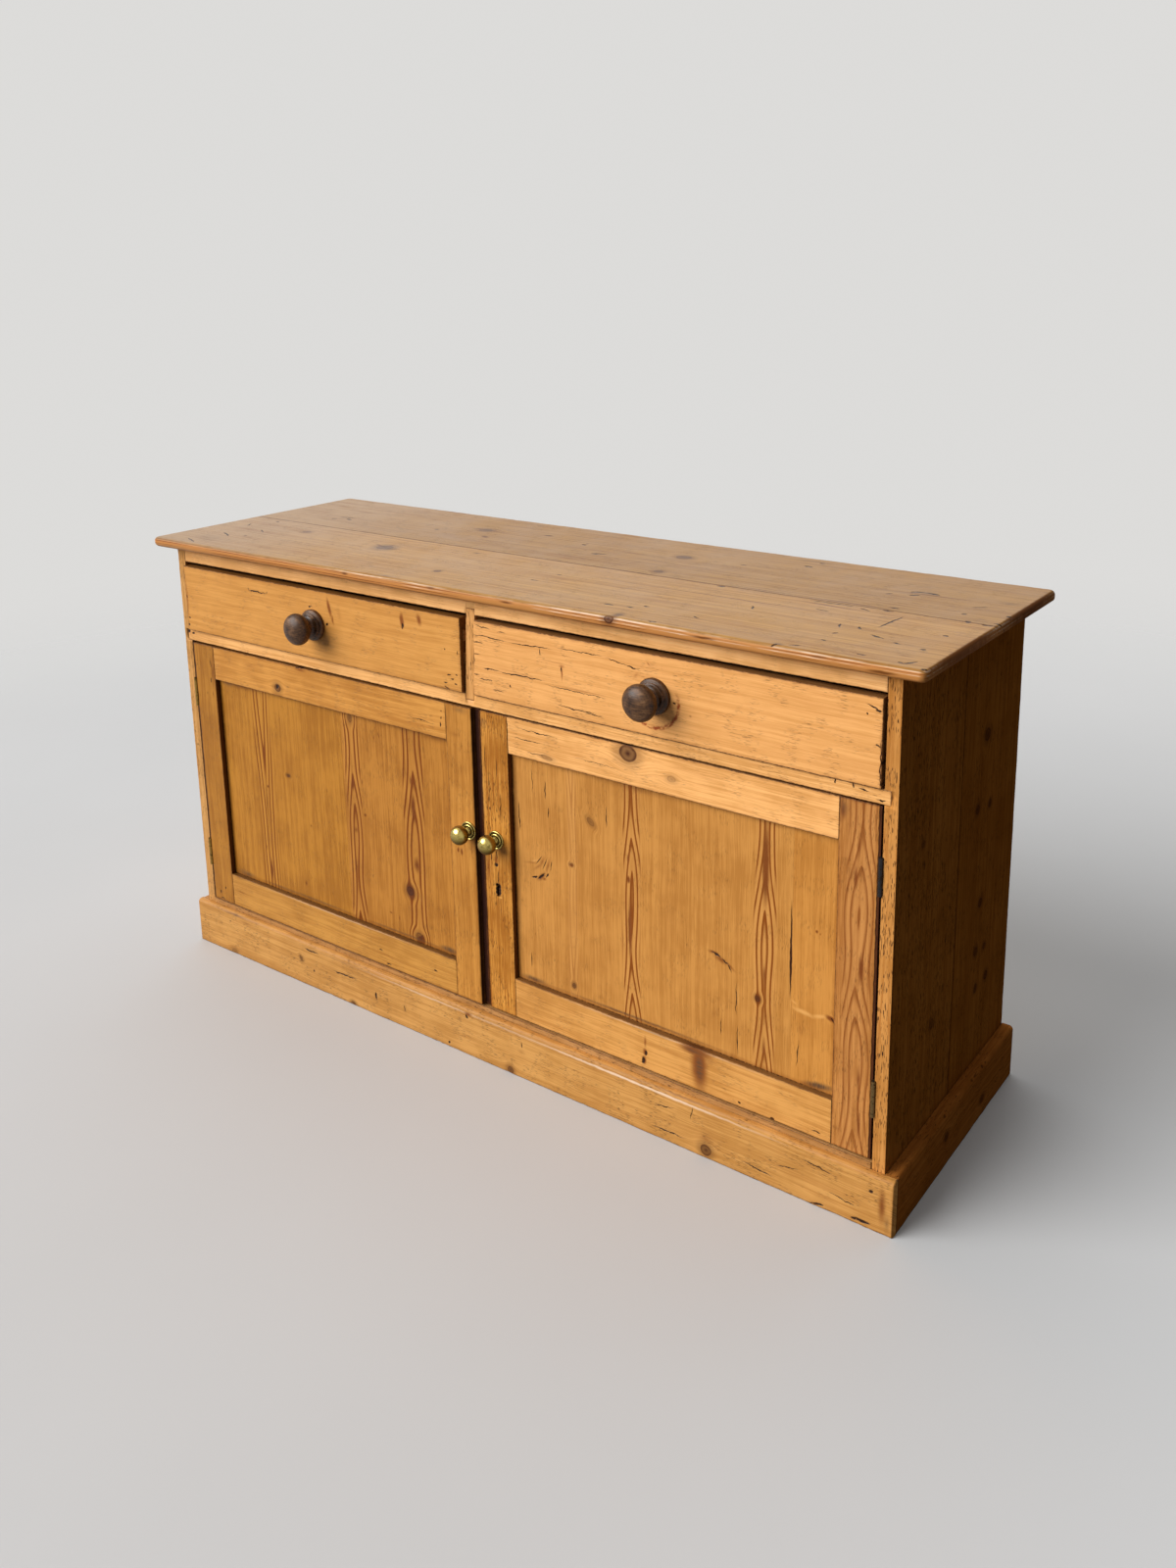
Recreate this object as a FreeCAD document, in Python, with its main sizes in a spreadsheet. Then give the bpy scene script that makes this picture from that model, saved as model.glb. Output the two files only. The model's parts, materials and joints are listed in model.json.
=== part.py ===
import FreeCAD, Part
import os
import re

# Old pine sideboard: two drawers over two panelled doors, on a planted plinth.
# X runs along the front, the front faces -Y and Z is up. The origin is the centre
# of the footprint of the whole piece, on the floor. Lengths are in millimetres.

SIZES = (
    # Carcass
    ("carcass_width", 1500),
    ("carcass_depth", 467),
    ("carcass_height", 830),
    ("side_thickness", 21),
    ("side_joint_depth", 228),
    # Top
    ("top_thickness", 18),
    ("top_overhang_front", 25),
    ("top_overhang_side", 41),
    ("top_overhang_back", 20),
    ("top_joint_depth", 228),
    ("top_edge_radius", 7),
    ("top_corner_radius", 12),
    # Rails, and the divider that leans between the drawers
    ("top_rail_height", 28),
    ("top_rail_depth", 60),
    ("drawer_opening_height", 135),
    ("drawer_rail_height", 22),
    ("drawer_rail_depth", 90),
    ("rail_lap_length", 10),
    ("rail_lap_depth", 12),
    ("divider_width", 19),
    ("divider_depth", 60),
    ("divider_lean", 7),
    ("divider_offset", 2),
    ("divider_lap_height", 11),
    ("divider_lap_depth", 12),
    # Bottom, shelf and back
    ("ledge_height", 10),
    ("bottom_thickness", 20),
    ("housing_depth", 6),
    ("housing_stop", 12),
    ("back_thickness", 12),
    ("back_rebate_width", 10),
    ("shelf_height", 365),
    ("shelf_thickness", 18),
    ("shelf_depth", 300),
    ("bearer_height", 30),
    ("bearer_width", 20),
    # Plinth
    ("plinth_height", 90),
    ("plinth_front_thickness", 12),
    ("plinth_side_thickness", 20),
    ("plinth_edge_radius", 7),
    ("plinth_end_radius", 3),
    # What the drawers run on
    ("runner_width", 30),
    ("centre_runner_width", 84),
    ("guide_height", 30),
    ("guide_clearance", 1),
    ("kicker_drop", 5),
    ("stop_height", 6),
    ("stop_length", 40),
    ("stop_depth", 24),
    ("stop_inset", 120),
    ("seat_gap", 0.3),
    # Drawers
    ("left_drawer_proud", 6),
    ("right_drawer_proud", 4),
    ("left_drawer_side_gap", 1),
    ("right_drawer_side_gap", 3.7),
    ("drawer_divider_gap", 2.5),
    ("right_front_gap", 1.5),
    ("drawer_front_lift", 1),
    ("drawer_front_drop", 7),
    ("drawer_front_thickness", 20),
    ("drawer_side_drop", 12),
    ("drawer_side_thickness", 12),
    ("drawer_back_thickness", 12),
    ("drawer_back_clearance", 15),
    ("drawer_bottom_thickness", 8),
    ("drawer_bottom_rise", 10),
    ("drawer_groove_depth", 5),
    ("dovetail_length", 13),
    ("dovetail_height", 20),
    ("dovetail_flare", 3),
    # Turned wooden pulls
    ("left_pull_offset", 4.5),
    ("right_pull_offset", 3.2),
    ("pull_projection", 54),
    ("pull_head_radius", 28.5),
    ("pull_head_thickness", 32),
    ("pull_base_radius", 28.5),
    ("pull_base_height", 7),
    ("pull_base_edge_radius", 4),
    ("pull_bead_radius", 23),
    ("pull_bead_height", 11),
    ("pull_bead_edge_radius", 3),
    ("pull_cove_radius", 18),
    ("pull_cove_height", 9),
    ("pull_neck_radius", 13),
    ("pull_spigot_radius", 7),
    ("pull_spigot_length", 14),
    # Doors
    ("door_thickness", 20),
    ("left_door_proud", 1.5),
    ("right_door_setback", 2),
    ("door_edge_gap", 3),
    ("door_head_gap", 3),
    ("door_foot_gap", 2),
    ("left_hinge_stile_width", 60.5),
    ("right_hinge_stile_width", 63.5),
    ("left_meeting_stile_width", 58),
    ("right_meeting_stile_width", 58),
    ("left_top_rail_height", 66),
    ("right_top_rail_height", 64),
    ("left_bottom_rail_height", 67),
    ("right_bottom_rail_height", 72),
    ("meeting_line", 11.6),
    ("tongue_gap", 3.6),
    ("tongue_width", 12.4),
    ("tongue_setback", 8),
    ("panel_back_lip", 4),
    ("panel_thickness", 7),
    ("groove_depth", 8),
    ("panel_clearance", 0.5),
    ("left_panel_outer_width", 343),
    ("right_panel_outer_width", 80),
    ("tenon_length", 40),
    ("tenon_shoulder", 10),
    # Small brass knobs
    ("left_knob_height", 423),
    ("right_knob_height", 419),
    ("left_knob_inset", 15.4),
    ("right_knob_inset", 26),
    ("knob_projection", 38),
    ("knob_radius", 15),
    ("knob_thickness", 28),
    ("knob_neck_radius", 5),
    ("knob_collar_radius", 8),
    ("knob_collar_height", 3),
    ("knob_step_radius", 11.5),
    ("knob_step_height", 4),
    ("knob_plate_radius", 15),
    ("knob_plate_height", 2),
    ("knob_spindle_radius", 2.5),
    ("knob_spindle_length", 14),
    # Butt hinges and their screws
    ("hinge_length", 57),
    ("hinge_inset", 72),
    ("hinge_axis_proud", 1),
    ("leaf_width", 18.5),
    ("leaf_thickness", 1.6),
    ("leaf_gap", 0.8),
    ("knuckle_radius", 3.2),
    ("knuckle_gap", 0.3),
    ("knuckle_relief", 0.4),
    ("hinge_pin_radius", 1.5),
    ("hinge_pin_clearance", 0.05),
    ("screw_head_radius", 3),
    ("screw_shank_radius", 1.5),
    ("screw_length", 14),
    ("screw_spacing", 20),
    # Lock
    ("lock_drop", 89),
    ("lock_case_length", 40),
    ("lock_case_height", 60),
    ("lock_case_thickness", 10.5),
    ("lock_bolt_length", 26),
    ("lock_bolt_height", 16),
    ("lock_bolt_thickness", 3.5),
    ("lock_bolt_inset", 1.7),
    ("lock_bolt_clearance", 0.2),
    ("lock_keep_depth", 9),
    ("keyhole_inset", 26.4),
    ("keyhole_rise", 6),
    ("keyhole_radius", 3.8),
    ("keyhole_slot_width", 4.6),
    ("keyhole_slot_drop", 19),
    # How far a cutting shape runs past what it cuts
    ("overrun", 2),
)

KNUCKLES = 5
BACK_BOARDS = 6
DOVETAILS = 3
SCREWS = 3

# The most of a wall that rounding takes, from one face or from both.
ONE_FACE_SHARE = 0.9
BOTH_FACES_SHARE = 0.45

# Places that pieces share, worked out from the sizes above. Depths are measured
# back from the front plane of the carcass, and heights up from the floor.
PLACES = {
    "front_reach": "left_drawer_proud + pull_projection",
    "back_reach": "carcass_depth + top_overhang_back",
    "front_y": "(front_reach - back_reach) / 2",
    "half_width": "carcass_width / 2",
    "half_inner": "half_width - side_thickness",
    "half_back": "half_inner + back_rebate_width",
    "half_housed": "half_inner + housing_depth",
    "inner_back": "carcass_depth - back_thickness",
    "top_left": "0 - half_width - top_overhang_side",
    "top_right": "half_width + top_overhang_side",
    "top_head": "carcass_height + top_thickness",
    "opening_head": "carcass_height - top_rail_height",
    "opening_foot": "opening_head - drawer_opening_height",
    "rail_foot": "opening_foot - drawer_rail_height",
    "bottom_head": "plinth_height + ledge_height",
    "bottom_foot": "bottom_head - bottom_thickness",
    "plinth_half": "half_width + plinth_side_thickness",
    "lean_slope": "divider_lean / drawer_opening_height",
    "divider_foot": "0 - divider_offset - divider_lean / 2",
    "divider_left": "divider_foot - divider_width / 2",
    "divider_right": "divider_foot + divider_width / 2",
    "left_drawer_outer_edge": "left_drawer_side_gap - half_inner",
    "right_drawer_outer_edge": "right_drawer_side_gap - half_inner",
    "left_drawer_end": "divider_left - drawer_divider_gap",
    "right_drawer_end": "divider_right + divider_lean + drawer_divider_gap",
    "front_foot": "opening_foot + drawer_front_lift",
    "front_head": "opening_head - drawer_front_drop",
    "right_front_foot": "divider_right + lean_slope * drawer_front_lift + right_front_gap",
    "right_front_head": "right_front_foot + lean_slope * (front_head - front_foot)",
    "drawer_foot": "opening_foot + seat_gap",
    "drawer_head": "front_head - drawer_side_drop",
    "drawer_back": "inner_back - drawer_back_clearance",
    "drawer_panel_foot": "drawer_foot + drawer_bottom_rise",
    "drawer_panel_head": "drawer_panel_foot + drawer_bottom_thickness",
    "door_foot": "bottom_head + door_foot_gap",
    "door_head": "rail_foot - door_head_gap",
    "door_outer_edge": "door_edge_gap - half_inner",
    "tongue_end": "meeting_line - tongue_gap",
    "left_lap_edge": "tongue_end - tongue_width",
    "hinge_x": "door_edge_gap / 2 - half_inner",
    "hinge_y": "0 - hinge_axis_proud",
    "leaf_start": "hinge_y + knuckle_radius + knuckle_relief",
    "leaf_end": "hinge_y + leaf_width",
    "lower_hinge": "door_foot + hinge_inset",
    "upper_hinge": "door_head - hinge_inset - hinge_length",
    "lock_height": "right_knob_height - lock_drop",
    "lock_back": "right_door_setback + door_thickness",
    "lock_front": "lock_back - lock_case_thickness",
    "bolt_front": "lock_front + lock_bolt_inset",
    "bolt_back": "bolt_front + lock_bolt_thickness",
    "bolt_foot": "lock_height - lock_bolt_height / 2",
    "bolt_head": "lock_height + lock_bolt_height / 2",
}

ALIASES = {name for name, value in SIZES}
OUT_OF_FRONT = FreeCAD.Rotation(FreeCAD.Vector(1, 0, 0), 90)
TO_THE_LEFT = FreeCAD.Rotation(FreeCAD.Vector(0, 1, 0), -90)
TO_THE_RIGHT = FreeCAD.Rotation(FreeCAD.Vector(0, 1, 0), 90)
UPWARDS = FreeCAD.Rotation()

doc = FreeCAD.newDocument("sideboard")
sheet = doc.addObject("Spreadsheet::Sheet", "sizes")
for row, (name, value) in enumerate(SIZES, start=1):
    sheet.set("A%d" % row, name)
    sheet.set("B%d" % row, str(value))
    sheet.setAlias("B%d" % row, name)
doc.recompute()

finished = []


# Helpers

def size(name):
    return float(sheet.get(name))


def expand(formula):
    """Write a formula of size and place names as an expression on the sheet."""
    def swap(match):
        word = match.group(0)
        if word in PLACES:
            return "(" + expand(PLACES[word]) + ")"
        if word in ALIASES:
            return "sizes." + word
        raise NameError(word)
    return re.sub(r"[a-z][a-z_]*", swap, formula)


def bind(piece, prop, formula):
    piece.setExpression(prop, expand(formula))


def place(piece, x, y, z):
    """Put a piece at x, at depth y behind the carcass front, at height z."""
    bind(piece, "Placement.Base.x", x)
    bind(piece, "Placement.Base.y", "front_y + " + y)
    bind(piece, "Placement.Base.z", z)


def length(stretch):
    return "(%s) - (%s)" % (stretch[1], stretch[0])


def box(name, x, y, z):
    """A board that reaches from one place to another along each axis."""
    piece = doc.addObject("Part::Box", name)
    bind(piece, "Length", length(x))
    bind(piece, "Width", length(y))
    bind(piece, "Height", length(z))
    place(piece, x[0], y[0], z[0])
    return piece


def leaning_board(name, foot, head, y, z):
    """A board whose edges lean, given by their places at its foot and at its head."""
    piece = doc.addObject("Part::Wedge", name)
    piece.Placement.Rotation = OUT_OF_FRONT
    piece.Xmin = piece.Ymin = piece.Zmin = piece.Z2min = 0
    bind(piece, "Xmax", length(foot))
    bind(piece, "X2min", length((foot[0], head[0])))
    bind(piece, "X2max", length((foot[0], head[1])))
    bind(piece, "Ymax", length(z))
    bind(piece, "Zmax", length(y))
    bind(piece, "Z2max", length(y))
    place(piece, foot[0], y[1], z[0])
    return piece


def turned(kind, name, direction, x, y, z, **sizes):
    """A round primitive that starts at a place and points in a direction."""
    piece = doc.addObject("Part::" + kind, name)
    piece.Placement.Rotation = direction
    for prop, formula in sizes.items():
        bind(piece, prop, formula)
    place(piece, x, y, z)
    return piece


def compound(name, pieces):
    group = doc.addObject("Part::Compound", name)
    group.Links = pieces
    return group


def fuse(name, pieces):
    whole = doc.addObject("Part::MultiFuse", name)
    whole.Shapes = pieces
    whole.Refine = True
    return whole


def cut(name, base, tools):
    """Take one or more shapes out of a piece."""
    rest = doc.addObject("Part::Cut", name)
    rest.Base = base
    rest.Tool = tools[0] if len(tools) == 1 else fuse(name + "_cutters", tools)
    return rest


def common(name, base, tool):
    share = doc.addObject("Part::Common", name)
    share.Base = base
    share.Tool = tool
    return share


def mirrored(name, source):
    """The same piece on the other side of the middle of the sideboard."""
    twin = doc.addObject("Part::Mirroring", name)
    twin.Source = source
    twin.Normal = FreeCAD.Vector(1, 0, 0)
    return twin


def rounded(name, base, radius, chosen):
    """Round the edges of a piece that the test chooses."""
    doc.recompute()
    piece = doc.addObject("Part::Fillet", name)
    piece.Base = base
    edges = enumerate(base.Shape.Edges, start=1)
    piece.Edges = [(number, radius, radius) for number, edge in edges if chosen(edge)]
    return piece


def finish(name, piece):
    """Name a piece that is complete, and keep it for the export."""
    piece.Label = name
    finished.append(piece)


def finish_handed(hand, name, piece):
    """Finish a piece that is drawn on the left, mirrored where it is for the right."""
    name = hand + "_" + name
    finish(name, piece if hand == "left" else mirrored(name, piece))


# Top: one slab with a rounded nosing, in two boards that meet along a joint

def make_top():
    def upright(edge):
        return edge.BoundBox.ZLength > edge.Length / 2

    x = ("top_left", "top_right")
    y = ("0 - top_overhang_front", "back_reach")
    z = ("carcass_height", "top_head")
    slab = box("top_slab", x, y, z)
    corners = rounded("top_corners", slab, size("top_corner_radius"), upright)
    radius = min(size("top_edge_radius"), size("top_thickness") * BOTH_FACES_SHARE)
    nosing = rounded("top_nosing", corners, radius, lambda edge: not upright(edge))
    wide = (x[0] + " - overrun", x[1] + " + overrun")
    tall = (z[0] + " - overrun", z[1] + " + overrun")
    front = box("top_front_part", wide, (y[0] + " - overrun", "top_joint_depth"), tall)
    back = box("top_back_part", wide, ("top_joint_depth", y[1] + " + overrun"), tall)
    finish("top_front_board", common("top_front", nosing, front))
    finish("top_back_board", common("top_back", nosing, back))


# Sides: two boards each, drawn on the left. Their front boards take the rail laps
# and the hinges, and their back boards are rebated for the back.

def make_sides(hinge_cutters):
    x = ("0 - half_width", "0 - half_inner")
    z = ("0", "carcass_height")
    inwards = x[1] + " + overrun"
    lap = box("rail_lap_notch", ("0 - half_inner - rail_lap_length", inwards),
              ("0 - overrun", "rail_lap_depth"), ("rail_foot", "opening_foot"))
    housing = box("bottom_housing", ("0 - half_housed", inwards),
                  ("housing_stop", "inner_back + overrun"), ("bottom_foot", "bottom_head"))
    rebate = box("back_rebate", ("0 - half_back", inwards),
                 ("inner_back", "carcass_depth + overrun"),
                 ("0 - overrun", "carcass_height + overrun"))
    front = box("side_front_blank", x, ("0", "side_joint_depth"), z)
    back = box("side_back_blank", x, ("side_joint_depth", "carcass_depth"), z)
    front = cut("side_front", front, [lap, housing] + hinge_cutters)
    back = cut("side_back", back, [housing, rebate])
    for hand in ("left", "right"):
        finish_handed(hand, "side_front_board", front)
        finish_handed(hand, "side_back_board", back)


# Rails and divider: the divider leans, and laps over the faces of both rails

def divider_slab(name, y, drop, rise):
    """A slice of the leaning divider, from below its foot to above its head."""
    left = "divider_left - lean_slope * (%s)" % drop
    right = "divider_right - lean_slope * (%s)" % drop
    shift = " + lean_slope * (drawer_opening_height + %s + %s)" % (drop, rise)
    z = ("opening_foot - (%s)" % drop, "opening_head + " + rise)
    return leaning_board(name, (left, right), (left + shift, right + shift), y, z)


def make_rails():
    inner = ("0 - half_inner", "half_inner")
    lapped = ("0 - half_inner - rail_lap_length", "half_inner + rail_lap_length")
    notch = divider_slab("divider_notch", ("0 - overrun", "divider_lap_depth"),
                         "divider_lap_height", "divider_lap_height")
    laps = divider_slab("divider_laps", ("0", "divider_lap_depth"),
                        "divider_lap_height", "divider_lap_height")
    post = divider_slab("divider_post", ("0", "divider_depth"), "0", "0")
    top_rail = box("top_rail_blank", inner, ("0", "top_rail_depth"),
                   ("opening_head", "carcass_height"))
    rail = box("drawer_rail_blank", inner, ("0", "drawer_rail_depth"),
               ("rail_foot", "opening_foot"))
    rail_laps = box("drawer_rail_laps", lapped, ("0", "rail_lap_depth"),
                    ("rail_foot", "opening_foot"))
    finish("top_rail", cut("top_rail_cut", top_rail, [notch]))
    finish("drawer_rail", cut("drawer_rail_cut", fuse("lapped_rail", [rail, rail_laps]), [notch]))
    finish("drawer_divider", fuse("lapped_divider", [post, laps]))


# Bottom boards housed in the sides, a half-depth shelf on bearers, and the back

def make_inside():
    inner = ("0 - half_inner", "half_inner")
    housed = ("0 - half_housed", "half_housed")
    z = ("bottom_foot", "bottom_head")
    edge = box("bottom_front_edge", inner, ("0", "side_joint_depth"), z)
    tongue = box("bottom_front_tongue", housed, ("housing_stop", "side_joint_depth"), z)
    front = fuse("bottom_front", [edge, tongue])
    back = box("bottom_back", housed, ("side_joint_depth", "inner_back"), z)
    finish("bottom_boards", compound("bottoms", [front, back]))

    y = ("inner_back - shelf_depth", "inner_back")
    shelf_foot = "shelf_height"
    finish("shelf", box("shelf_board", inner, y, (shelf_foot, shelf_foot + " + shelf_thickness")))
    bearer = box("left_bearer", (inner[0], inner[0] + " + bearer_width"), y,
                 (shelf_foot + " - bearer_height", shelf_foot))
    finish("shelf_bearers", compound("bearers", [bearer, mirrored("right_bearer", bearer)]))

    boards = []
    for count in range(BACK_BOARDS):
        start = "2 * half_back * %d / %d - half_back" % (count, BACK_BOARDS)
        end = "2 * half_back * %d / %d - half_back" % (count + 1, BACK_BOARDS)
        boards.append(box("back_board", (start, end), ("inner_back", "carcass_depth"),
                          ("bottom_foot", "carcass_height")))
    finish("back_boards", compound("backs", boards))


# Plinth: planted on the front and the sides, with a rounded top edge

def make_plinth():
    def along_top(edge):
        box = edge.BoundBox
        return box.ZLength < edge.Length / 2 and box.Center.z > size("plinth_height") / 2

    def front_top(edge):
        return along_top(edge) and edge.BoundBox.YLength < edge.Length / 2 and \
            edge.BoundBox.Center.y < front.Shape.BoundBox.Center.y

    def front_end(edge):
        return edge.BoundBox.ZLength > edge.Length / 2 and \
            edge.BoundBox.Center.y < front.Shape.BoundBox.Center.y

    def outer_top(edge):
        return along_top(edge) and edge.BoundBox.XLength < edge.Length / 2 and \
            edge.BoundBox.Center.x < side.Shape.BoundBox.Center.x

    z = ("0", "plinth_height")
    radius = size("plinth_edge_radius")
    front = box("plinth_front_blank", ("0 - plinth_half", "plinth_half"),
                ("0 - plinth_front_thickness", "0"), z)
    reach = min(radius, size("plinth_front_thickness") * ONE_FACE_SHARE)
    edged = rounded("plinth_front_edged", front, reach, front_top)
    ends = min(size("plinth_end_radius"), reach * ONE_FACE_SHARE)
    finish("plinth_front", rounded("plinth_front_ends", edged, ends, front_end))

    side = box("plinth_side_blank", ("0 - plinth_half", "0 - half_width"),
               ("0", "carcass_depth"), z)
    reach = min(radius, size("plinth_side_thickness") * ONE_FACE_SHARE)
    edged = rounded("plinth_side", side, reach, outer_top)
    for hand in ("left", "right"):
        finish_handed(hand, "plinth", edged)


# Runners, guide, kickers and stops for the drawers

def make_runners():
    outer = ("0 - half_inner", "runner_width - half_inner")
    centre = ("0 - centre_runner_width / 2", "centre_runner_width / 2")
    for name, front, z in (
            ("drawer_runners", "drawer_rail_depth", ("rail_foot", "opening_foot")),
            ("drawer_kickers", "top_rail_depth", ("opening_head - kicker_drop", "carcass_height"))):
        y = (front, "inner_back")
        left = box(name + "_left", outer, y, z)
        middle = box(name + "_centre", centre, y, z)
        right = mirrored(name + "_right", left)
        finish(name, compound(name + "_set", [left, middle, right]))

    x = ("left_drawer_end + guide_clearance", "right_drawer_end - guide_clearance")
    finish("drawer_guide", box("centre_guide", x, ("divider_depth", "inner_back"),
                               ("opening_foot", "opening_foot + guide_height")))

    stops = []
    for hand, inner_end in (("left", "left_drawer_end"), ("right", "0 - right_drawer_end")):
        front = "drawer_front_thickness - %s_drawer_proud + seat_gap" % hand
        for start in (hand + "_drawer_outer_edge + stop_inset",
                      inner_end + " - stop_inset - stop_length"):
            stop = box(hand + "_stop", (start, start + " + stop_length"),
                       (front, front + " + stop_depth"),
                       ("opening_foot", "opening_foot + stop_height"))
            stops.append(stop if hand == "left" else mirrored("right_stop_twin", stop))
    finish("drawer_stops", compound("stops", stops))


# Drawers: dovetailed boxes, drawn on the left. The right front leans with the divider.

def dovetails(x, shoulder):
    """The tails at the front end of a drawer side, widest at their tips."""
    tails = []
    for count in range(DOVETAILS):
        tail = doc.addObject("Part::Wedge", "tail")
        tail.Xmin = tail.X2min = tail.Ymin = tail.Zmin = 0
        bind(tail, "Xmax", "drawer_side_thickness")
        bind(tail, "X2max", "drawer_side_thickness")
        bind(tail, "Ymax", "dovetail_length")
        bind(tail, "Zmax", "dovetail_height")
        bind(tail, "Z2min", "dovetail_flare")
        bind(tail, "Z2max", "dovetail_height - dovetail_flare")
        centre = "drawer_foot + (drawer_head - drawer_foot) * %d / %d" % (2 * count + 1, 2 * DOVETAILS)
        place(tail, x, shoulder + " - dovetail_length", centre + " - dovetail_height / 2")
        tails.append(tail)
    return tails


def make_pull(hand, x, face, spigot):
    """A turned pull: flange, bead, cove, neck and a flattened ball."""
    z = "(front_foot + front_head) / 2"

    def rounded_disc(name, radius, height, edge_radius):
        def rim(edge):
            front_half = edge.BoundBox.Center.y < disc.Shape.BoundBox.Center.y
            return edge.Closed and front_half

        disc = turned("Cylinder", name, OUT_OF_FRONT, x, face, z, Radius=radius, Height=height)
        reach = min(size(edge_radius), size(height) * ONE_FACE_SHARE)
        return rounded(name + "_rounded", disc, reach, rim)

    flange = rounded_disc("pull_flange", "pull_base_radius", "pull_base_height",
                          "pull_base_edge_radius")
    bead = rounded_disc("pull_bead", "pull_bead_radius", "pull_bead_height",
                        "pull_bead_edge_radius")
    cove = turned("Cone", "pull_cove", OUT_OF_FRONT, x, face + " - pull_bead_height", z,
                  Radius1="pull_cove_radius", Radius2="pull_neck_radius",
                  Height="pull_cove_height")
    centre = "pull_projection - pull_head_thickness / 2"
    neck = turned("Cylinder", "pull_neck", OUT_OF_FRONT, x, face, z,
                  Radius="pull_neck_radius", Height=centre)
    head = turned("Ellipsoid", "pull_head", OUT_OF_FRONT, x, face + " - (%s)" % centre, z,
                  Radius1="pull_head_thickness / 2", Radius2="pull_head_radius",
                  Radius3="pull_head_radius")
    finish_handed(hand, "drawer_pull", fuse(hand + "_pull", [flange, bead, cove, neck, head, spigot]))


def make_drawer(hand, inner_foot, inner_head, inner_end):
    start = hand + "_drawer_outer_edge"
    face = "0 - %s_drawer_proud" % hand
    back = face + " + drawer_front_thickness"
    outer = (start, start + " + drawer_side_thickness")
    inner = (inner_end + " - drawer_side_thickness", inner_end)
    run = (back, "drawer_back")
    height = ("drawer_foot", "drawer_head")
    panel_x = (outer[1] + " - drawer_groove_depth", inner[0] + " + drawer_groove_depth")
    panel_y = (back + " - drawer_groove_depth", "drawer_back")
    panel_z = ("drawer_panel_foot", "drawer_panel_head")
    groove = box("drawer_groove", panel_x, (panel_y[0], panel_y[1] + " + overrun"), panel_z)
    outer_tails = dovetails(outer[0], back)
    inner_tails = dovetails(inner[0], back)

    pull_x = "(%s + %s) / 2 + %s_pull_offset" % (start, inner_foot, hand)
    spigot = turned("Cylinder", "pull_spigot", OUT_OF_FRONT, pull_x,
                    face + " + pull_spigot_length", "(front_foot + front_head) / 2",
                    Radius="pull_spigot_radius", Height="pull_spigot_length")
    board = leaning_board("drawer_front_blank", (start, inner_foot), (start, inner_head),
                          (face, back), ("front_foot", "front_head"))
    front = cut("drawer_front_cut", board, outer_tails + inner_tails + [groove, spigot])
    finish_handed(hand, "drawer_front", front)
    for name, x, tails in (("outer", outer, outer_tails), ("inner", inner, inner_tails)):
        side = fuse("drawer_side_tailed", [box("drawer_side_blank", x, run, height)] + tails)
        finish_handed(hand, "drawer_%s_side" % name, cut("drawer_side_cut", side, [groove]))
    finish_handed(hand, "drawer_back",
                  box("drawer_back_blank", (outer[1], inner[0]),
                      ("drawer_back - drawer_back_thickness", "drawer_back"),
                      ("drawer_panel_head", "drawer_head")))
    finish_handed(hand, "drawer_bottom", box("drawer_panel", panel_x, panel_y, panel_z))
    make_pull(hand, pull_x, face, spigot)


# Hinges, drawn on the left: one leaf on the side and one on the door's edge

def make_screw(direction, x, z):
    """A countersunk screw whose head fills the thickness of its leaf."""
    y = "(leaf_start + leaf_end) / 2"
    head = turned("Cone", "screw_head", direction, x, y, z, Radius1="screw_head_radius",
                  Radius2="screw_shank_radius", Height="leaf_thickness")
    shank = turned("Cylinder", "screw_shank", direction, x, y, z,
                   Radius="screw_shank_radius", Height="screw_length")
    return fuse("screw", [head, shank])


def make_leaf(x, foot, knuckles, screws):
    """A leaf and its own knuckles round the pin, with its screw holes."""
    plate = box("leaf_plate", x, ("leaf_start", "leaf_end"), (foot, foot + " + hinge_length"))
    parts = [plate]
    for number in knuckles:
        low = foot + " + hinge_length * %d / %d + knuckle_gap / 2" % (number, KNUCKLES)
        high = foot + " + hinge_length * %d / %d - knuckle_gap / 2" % (number + 1, KNUCKLES)
        parts.append(box("leaf_web", x, ("hinge_y", "leaf_start"), (low, high)))
        parts.append(turned("Cylinder", "knuckle", UPWARDS, "hinge_x", "hinge_y", low,
                            Radius="knuckle_radius", Height=length((low, high))))
    bore = turned("Cylinder", "pin_bore", UPWARDS, "hinge_x", "hinge_y", foot + " - overrun",
                  Radius="hinge_pin_radius + hinge_pin_clearance",
                  Height="hinge_length + 2 * overrun")
    return cut("leaf_cut", fuse("leaf_whole", parts), [bore] + screws)


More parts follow.
